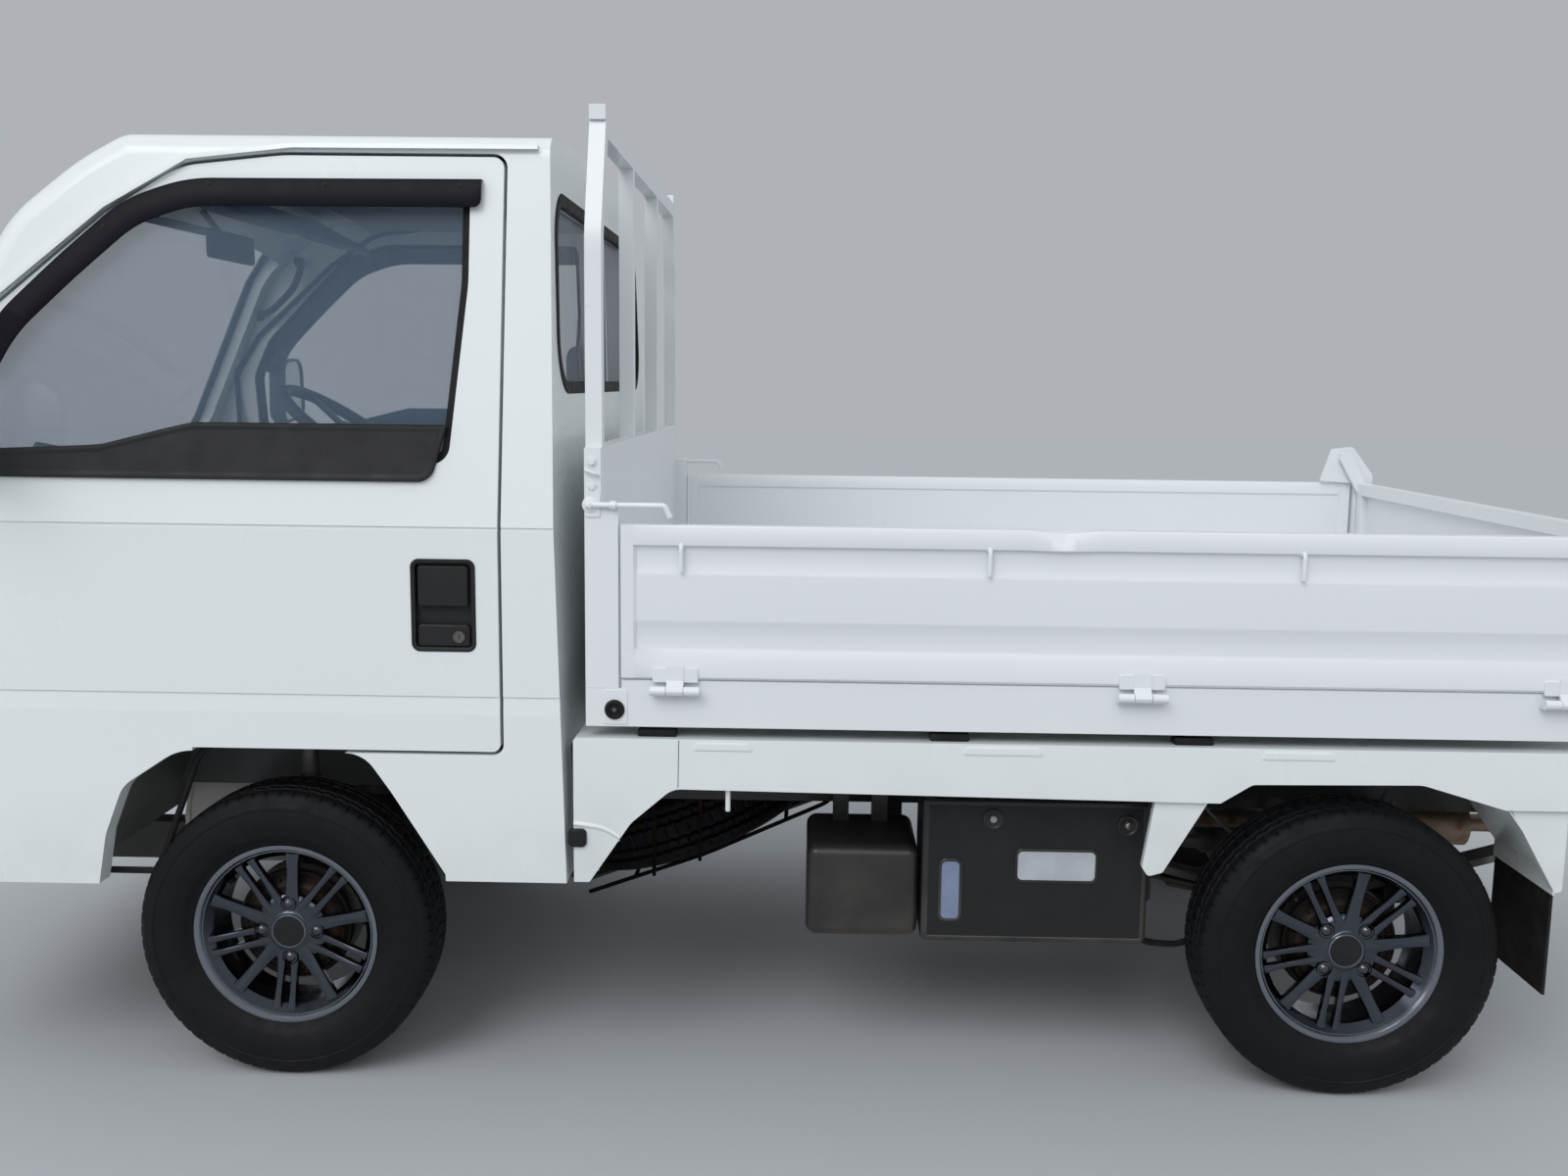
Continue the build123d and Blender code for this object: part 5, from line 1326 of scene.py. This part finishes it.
def make_deck_fittings():
    """The deck's pull rods, tabs and pressed ridges, and a thin dark line of painted shade in the groove
    where its panels meet.
    """
    skirt = Piece()
    ridge = rounded([Vector(row) for row in ((1372, 494), (1352, 492), (1318, 487), (1292, 470))], 20, 6)
    for sign in (1, -1):
        side = on_plane(CAB_HALF, sign)
        foot = side(1104, 519, 14)
        skirt.tube([side(1104, 560, 14), foot], 0.0045, DECK_WHITE, 16)
        skirt.lathe([(0, 4.5), (1.2, 4.2), (2, 3), (2, 0.01)], DECK_WHITE,
                    turned_to(foot, (0, 0, -1), (0, 1, 0)), 16)
        for low, high in ((1060, 1165), (560, 700), (60, 190)):
            tab = loop([(low, 628, 3), (low + 7, 643, 4), (high - 7, 643, 4), (high, 628, 3)], 3)
            filled(skirt, tab, [(0, 0.4), (0.6, -1.4), (3, -2.0)], DECK_WHITE, side)
        section = ((1, 7), (-0.8, 4), (-2.4, 0), (-0.8, -4), (1, -7))
        skirt.rings([[side(p.x, p.y + rise, deep) for deep, rise in section] for p in ridge], DECK_WHITE,
                    closed=False)
        # A thin dark line on each side: painted shade in the groove where the panels meet.
        skirt.tube([side(1190, 562, 0.2), side(1189, 646, 0.2)], 0.0008, GROOVE_SHADE, 6)
    skirt.make("deck_fittings", "root")


def make_battery_cover():
    """The battery box's cover with its sight glass, blank label, two knobs and rolled rim."""
    cover = Piece()
    face = on_plane(600)
    for low, high, look in (((687, 297), (722, 407), SIGHT_GLASS), ((443, 372), (585, 428), LABEL_BLANK)):
        outline = loop(oblong(low, high, 10), 6)
        filled(cover, outline, [(-4, 0.5), (-4, -1.8), (-2.5, -2.8), (0, -2.8), (1.2, -1.6), (1.2, -0.8)],
               SATIN_BLACK, face)
        cover.sheet(stepped(outline, [(1.3, -0.95)], face)[0], look)
    for x, z in ((630, 486), (388, 478)):
        dish = turned_to(face(x, z, 0), (0, 1, 0))
        cover.lathe([(-0.5, 19), (2.2, 18.6), (3.2, 17), (2.8, 15.4), (1.0, 13.2), (0.5, 9)], SATIN_BLACK,
                    dish, 40)
        cover.lathe([(0.5, 9.5), (2.6, 9), (3, 8), (1.2, 0.01)], SATIN_BLACK, dish, 32)
        cover.lathe([(1, 6.2), (3.6, 6), (3.6, 4.4)], BRIGHT, dish, 24)
        cover.lathe([(3.4, 4.6), (6.0, 4.2), (6.6, 3.2), (6.6, 0.01)], BRIGHT, dish, 6)
    rim = loop(oblong((349, 255), (755, 521), (12, 6, 6, 12)), 5)
    filled(cover, rim, [(-0.5, 14), (-0.5, 3), (2.5, 0.2), (5, -0.6), (9, -0.8), (11, 0.3)], SATIN_BLACK,
           face)
    cover.make("battery_cover_detail", "root", 28)


def make_battery_bracket():
    """The straps that hold the battery box, their bolts and its cable."""
    brackets = Piece()
    for x in (392, 712):
        brackets.block(at(x - 18, 470, 520), at(x + 18, 592, 526), SATIN_BLACK, 0.0015)
        for y in (490, 575):
            bolt(brackets, at(x, y, 526), (0, 0, 1), 0.006, 0.005, STEEL)
    cable = [at(380, 560, 262), at(330, 540, 235), at(255, 520, 225), at(210, 505, 262)]
    brackets.tube(cable, 0.006, FLAP_RUBBER, 12, 0.03)
    brackets.make("battery_bracket", "root")


# The spare wheel, leaning under the bed, in its cage of rods
SPARE_LEAN = math.radians(20)
SPARE_RIM_ROWS = [
    (52, 150), (52, 165.4), (57.6, 165.6), (57.6, 160), (50, 153), (30, 146), (-28, 140), (-40, 143),
    (-52, 150), (-52, 165.4), (-57.6, 165.6), (-57.6, 158), (-46, 142), (-30, 128), (-22, 112), (-30, 92),
    (-38, 70), (-30, 52), (-28, 30), (-28, 28), (-24, 28), (-25, 50), (-34, 70), (-26, 92), (-17, 112),
    (-24, 132), (0, 136), (40, 146),
]


def make_spare():
    """The tyre, its steel rim and the cage's rods."""
    place = turned_to(at(1225, 0, 352), (math.sin(SPARE_LEAN), 0, math.cos(SPARE_LEAN)), (0, 1, 0))
    tyre_piece("spare_tyre_detail", place, "root", "spare_tyre")
    rim = Piece()
    rim.lathe(SPARE_RIM_ROWS, STEEL, place, 72)
    for number in range(8):
        spot = place @ spun(number * 45) @ Matrix.Translation((0, -0.0265, 0.101))
        rim.lathe([(-6.5, 8), (-7.5, 9.5), (-9, 9)], STEEL, spot, 18)
    rim.make("spare_rim_detail", "root", 30, ("spare_rim",))
    cage = Piece()
    for y in (-150, 0, 150):
        rod = [at(905, y, 446), at(908, y, 386), at(1180, y, 262), at(1430, y, 172)]
        cage.tube(rod, 0.0045, RUSTY_ROD, 10, 0.03)
    for x, z in ((1010, 341), (1330, 208)):
        cage.tube([at(x, -152, z), at(x, 152, z)], 0.0045, RUSTY_ROD, 10)
    for x in (1273, 1180):
        hanger = [at(x, 300, 560), at(x, 305, 440), at(x + 2, 296, 262 + (1273 - x) * 0.36)]
        cage.tube(hanger, 0.0038, RUSTY_ROD, 10, 0.05)
    cage.make("spare_cage_rods", "root")


def make_fender_panels():
    """Rusty inner panels of the front wheel arches, behind the steered wheels."""
    panels = Piece()
    outline = loop([(1985, 300, 20), (1985, 646, 10), (2055, 652, 20), (2112, 588, 20), (2158, 545, 20),
                    (2194, 458, 20), (2206, 392, 10), (2206, 300, 20)], 4)
    rows = [(0.97, 348), (1, 352), (1, 356), (0.985, 358), (0.90, 358), (0.86, 354), (0.5, 354)]
    for sign in (1, -1):
        panels.rings(stepped(outline, rows, on_plane(0, -sign), scaled_loop), FENDER_RUST, caps=True)
        for z in (620, 480, 340):
            bolt(panels, at(2020, sign * 358, z), (0, sign, 0), 0.006, 0.005, STEEL)
    panels.make("fender_panels", "root", 40)


# Under the frame, in millimetres
SPRING_Y = 420
LEAF_HALVES = (330, 262, 196, 130)
LEAF_SECTION = ((-24, 0), (-22, 6.4), (22, 6.4), (24, 0), (22, -0.6), (-22, -0.6))
AXLE_Z = 266
COVER_RADIUS = 91


def add_spring(gear, sign):
    """A pack of leaves with its U-bolts, bands and shackle."""
    for number, half in enumerate(LEAF_HALVES):
        rings = []
        for step in range(17):
            x = -half + 2 * half * step / 16 + 10
            z = 291 - number * 8 + (x / 430) ** 2 * 72
            rings.append([at(x, sign * (SPRING_Y + off), z + rise) for off, rise in LEAF_SECTION])
        gear.rings(rings, FRAME_BLACK, caps=True)
    for x in (-46, 46):
        for y in (390, 450):
            gear.tube([at(x, sign * y, 240), at(x, sign * y, 322)], 0.0055, STEEL, 10)
            bolt(gear, at(x, sign * y, 246), (0, 0, -1), 0.009, 0.010, STEEL)
        gear.tube([at(x, sign * 390, 320), at(x, sign * 450, 320)], 0.0055, STEEL, 10)
    middle = sign * SPRING_Y
    gear.block(at(-62, middle - 36, 246), at(62, middle + 36, 255), FRAME_BLACK, 0.002)
    for x in (-150, 170):
        gear.block(at(x - 12, middle - 29, 262), at(x + 12, middle + 29, 322), FRAME_BLACK, 0.003)
    for off in (-31, 31):
        gear.block(at(-414, middle + off - 3, 374), at(-386, middle + off + 3, 454), FRAME_BLACK, 0.004)


def add_damper(gear, sign):
    """A damper with its rod and dust cover, and the brake pipe beside it."""
    low, high = at(-92, sign * 352, 262), at(-215, sign * 318, 560)
    gear.tube([low, low.lerp(high, 0.52)], 0.022, SATIN_BLACK, 24)
    gear.tube([low.lerp(high, 0.5), high], 0.0075, BRIGHT, 16)
    gear.tube([low.lerp(high, 0.56), high.lerp(low, 0.04)], 0.026, SATIN_BLACK, 24)
    pipe = [at(-40, sign * 250, 360), at(20, sign * 420, 352), at(160, sign * 470, 420),
            at(260, sign * 470, 520)]
    gear.tube(pipe, 0.003, STEEL, 8, 0.04)


def make_under():
    """The springs with their dampers, and the axle's case, cover bolts and drive shaft."""
    gear = Piece()
    for sign in (1, -1):
        add_spring(gear, sign)
        add_damper(gear, sign)
    gear.make("spring_details", "root")
    shaft = Piece()
    flange = turned_to(at(70, 0, 270), (1, 0, 0))
    shaft.lathe([(0, 0.01), (0, 32), (20, 34), (30, 26), (46, 22)], CAST, flange, 32)
    shaft.tube([at(108, 0, 270), at(262, 60, 300)], 0.024, STEEL, 24)
    cover = turned_to(at(-4, 0, AXLE_Z), (-1, 0, 0))
    shaft.lathe([(80, 60), (88, 84), (88, 98), (82, 98), (80, 84)], CAST, cover, 40)
    for number in range(8):
        turn = number * math.tau / 8
        spot = at(-92, COVER_RADIUS * math.sin(turn), AXLE_Z + COVER_RADIUS * math.cos(turn))
        bolt(shaft, spot, (-1, 0, 0), 0.006, 0.006, STEEL)
    shaft.make("axle_details", "root")


# The front: lamps with their bowls and bulbs, indicators, bumper and wipers
LAMP_ROWS = oblong((431, 701), (639, 849), 22)
BOWL_ROWS = oblong((437, 708), (572, 842), (20, 20, 14, 14))
INDICATOR_ROWS = oblong((580, 708), (633, 842), (12, 12, 18, 18))
INTAKE_ROWS = oblong((-300, 340), (300, 390), 12)


def make_front_lamps():
    """Both headlamps: clear cover, bowl, bulb, indicator and the cover's ribs, and their rims."""
    lamps = Piece()
    for sign in (1, -1):
        place = on_front_side(sign)
        filled(lamps, loop(LAMP_ROWS, 6),
               [(1, 22), (1, 2), (0.985, 0), (0.9, -0.6), (0.6, -1), (0.3, -1.2), (0.02, -1.2)],
               LAMP_CLEAR, place, scaled_loop)
        filled(lamps, loop(BOWL_ROWS, 6),
               [(1, 8), (0.97, 12), (0.86, 28), (0.66, 40), (0.4, 47), (0.2, 49), (0.05, 49)],
               LAMP_BOWL, place, scaled_loop)
        filled(lamps, loop(INDICATOR_ROWS, 5),
               [(1, 8), (0.96, 9), (0.9, 16), (0.7, 26), (0.3, 30), (0.05, 30)], AMBER, place, scaled_loop)
        bulb = turned_to(place(505, 775, 46), (1, 0, 0))
        lamps.lathe([(0, 16), (4, 15), (6, 8), (18, 8), (26, 6), (30, 0.01)], LAMP_GLASS, bulb, 24)
        for y in range(452, 558, 15):
            lamps.tube([place(y, 716, 3.5), place(y, 775, 3.1), place(y, 834, 3.5)], 0.0013, LAMP_CLEAR, 6)
    lamps.make("front_lamps_detail", "root", 30, ("front_lamps",))
    rims = Piece()
    for sign in (1, -1):
        frame_strip(rims, LAMP_ROWS, (-6, 0.4), (-2.0, 6), BLACK_PLASTIC, on_front_side(sign), 6, 1.5)
    rims.make("front_lamp_rims", "root")


def make_bumper_details():
    """The intake with its slats, the fog lamps and bolts."""
    bumper = Piece()
    frame_strip(bumper, INTAKE_ROWS, (-7, 2), (-2.4, 3), BUMPER_GREY, on_bumper, 5, 1.6)
    dark = [[on_bumper(u, v, -0.2) for v in (341, 389)] for u in range(-300, 301, 30)]
    bumper.rings(dark, CAP_BLACK, closed=False)
    for v in (353, 365, 377):
        section = [(v - 2.5, -0.2), (v - 1.5, -2.0), (v + 1.5, -2.0), (v + 2.5, -0.2)]
        slat = [[on_bumper(u, z, deep) for z, deep in section] for u in range(-296, 297, 37)]
        bumper.rings(slat, BUMPER_GREY, closed=False)
    for sign in (1, -1):
        spot = turned_to(on_bumper(sign * 430, 425, 0), (1, sign * 0.14, 0))
        bumper.lathe([(-2, 34), (2, 34), (3, 32), (1, 29), (1, 0.01)], BLACK_PLASTIC, spot, 40)
        bumper.lathe([(1, 29), (3.4, 22), (4.2, 10), (4.4, 0.01)], LAMP_CLEAR, spot, 40)
        for y in (90, 600):
            bolt(bumper, on_bumper(sign * y, 530, 0), (1, 0, 0), 0.006, 0.004, BLACK_PLASTIC)
    bumper.make("bumper_details", "root")


def make_wiper_pivots():
    """The caps over the wipers' spindles."""
    wipers = Piece()
    for y in (-330, 170):
        pivot = turned_to(on_front(y, 1052, 8), (1, 0, 0.35))
        wipers.lathe([(-12, 16), (0, 16), (8, 13), (14, 9), (16, 0.01)], BLACK_PLASTIC, pivot, 24)
    wipers.make("wiper_pivots", "root")


# Inside the cab: the dashboard's parts, pedals and levers
DIAL_Z = 1094
# Pads on the dashboard's face: low and high corner, radius, steps of a corner, rows of (inset, depth), look
DASH_PADS = [
    ((-88, 918), (88, 962), 3, 3, [(0, -3), (0, -5), (1, -5.6), (3, -5.6)], CAP_BLACK),
    ((200, 858), (600, 962), 12, 5, [(0, 1), (0, -1.8), (1.5, -3), (4, -3.2)], TRIM_GREY),
    ((370, 938), (430, 954), 4, 3, [(0, -2), (0, -5), (1, -6), (2, -6)], BLACK_PLASTIC),
]


def add_dials(dash):
    """The instrument hood with its dark glass, dials and needles."""
    hood = loop(oblong((-470, 1062), (-190, 1128), (16, 40, 40, 16)), 6)
    rows = [(0.90, 2318), (0.92, 2306), (0.97, 2302), (1, 2304), (1, 2330), (0.94, 2390), (0.8, 2420)]
    filled(dash, hood, rows, TRIM_DARK, across(0), scaled_loop)
    dash.sheet(stepped(hood, [(0.9, 2312)], across(0), scaled_loop)[0], CAP_BLACK)
    for y, radius in ((-375, 26), (-300, 26), (-245, 15)):
        dial = turned_to(at(2311.5, y, DIAL_Z), (-1, 0, 0))
        dash.lathe([(0, radius), (1.6, radius), (1.6, radius - 1.6), (0.4, radius - 2)], BRIGHT, dial, 32)
        needle = [at(2310.8, y, DIAL_Z), at(2310.8, y + radius * 0.5, DIAL_Z + radius * 0.45)]
        dash.tube(needle, 0.0008, HOOK_RED, 6)


def make_dashboard_details():
    """Instruments, vents, heater panel with its knobs, radio, glove box lid and stalks."""
    dash = Piece()
    add_dials(dash)
    for y0, y1 in ((-620, -520), (-120, -20), (20, 120), (520, 620)):
        vent = loop(oblong((y0, 985), (y1, 1045), 8), 4)
        filled(dash, vent, [(0, 2), (0, -3), (2, -4), (5, -4), (6, -1.5)], TRIM_DARK, on_dash)
        for z in range(996, 1040, 9):
            dash.block(on_dash(y0 + 8, z, -4.5), on_dash(y1 - 8, z + 1.6, -1), TRIM_DARK, 0.0004, segments=1)
    panel = loop(oblong((-110, 862), (110, 970), 8), 4)
    filled(dash, panel, [(0, 2), (0, -2.5), (2, -3.6), (4, -3.6)], TRIM_DARK, on_dash)
    for y in (-70, 0, 70):
        knob = turned_to(on_dash(y, 888, -3), (-1, 0, -0.2))
        dash.lathe([(0, 15), (3, 15), (5, 13.5), (16, 12), (17, 10.5), (17, 0.01)], BLACK_PLASTIC, knob, 28)
        dash.block((-0.001, 0.0165, 0.002), (0.001, 0.0178, 0.0105), LABEL_BLANK, 0, knob)
    for low, high, radius, steps, rows, look in DASH_PADS:
        filled(dash, loop(oblong(low, high, radius), steps), rows, look, on_dash)
    for sign in (1, -1):
        stalk = [at(2120, -330 + sign * 30, 1050), at(2112, -330 + sign * 120, 1066),
                 at(2110, -330 + sign * 150, 1068)]
        dash.tube(stalk, 0.006, BLACK_PLASTIC, 12, 0.02)
    dash.make("dashboard_details", "root")


def make_pedals():
    """Three ribbed pedals, the hand brake and the gear lever's boot."""
    floor = Piece()
    for y, wide, tall in ((-225, 24, 0), (-330, 30, 6), (-425, 24, 4)):
        pad = at(2215 + tall, y, 560 + tall)
        spot = turned_to(pad, (-0.75, 0, 0.66), (0, 1, 0))
        half = wide * MM
        floor.block((-0.030, -0.004, -half), (0.030, 0.004, half), FLAP_RUBBER, 0.003, spot)
        for rib in range(-2, 3):
            x = rib * 0.011
            floor.block((x - 0.0015, 0.004, -half * 0.85), (x + 0.0015, 0.0055, half * 0.85), FLAP_RUBBER,
                        0.0005, spot, 1)
        floor.tube([pad, at(2290, y, 640), at(2330, y, 780)], 0.006, SATIN_BLACK, 12, 0.05)
    floor.tube([at(1760, -60, 668), at(1700, -60, 700), at(1590, -60, 760)], 0.009, SATIN_BLACK, 14, 0.02)
    floor.tube([at(1640, -60, 732), at(1570, -60, 771)], 0.013, BLACK_PLASTIC, 16, 0)
    boot = turned_to(at(2030, 0, 663), (0, 0, 1), (0, 1, 0))
    floor.lathe([(0, 58), (8, 54), (14, 40), (26, 30), (30, 18), (42, 14), (50, 10)], FLAP_RUBBER, boot, 32)
    floor.make("pedals_and_levers", "root")


make_camera()
make_floor()
make_world()
make_lights()
dress_nodes()
make_wheels()
make_cab_trim()
make_seats()
make_gate("left", 1, True)
make_gate("right", -1, False)
make_bed_fittings()
make_deck_pads()
make_deck_fittings()
make_battery_cover()
make_battery_bracket()
make_spare()
make_fender_panels()
make_under()
make_front_lamps()
make_bumper_details()
make_wiper_pivots()
make_dashboard_details()
make_pedals()

bpy.context.scene.view_settings.view_transform = "Standard"
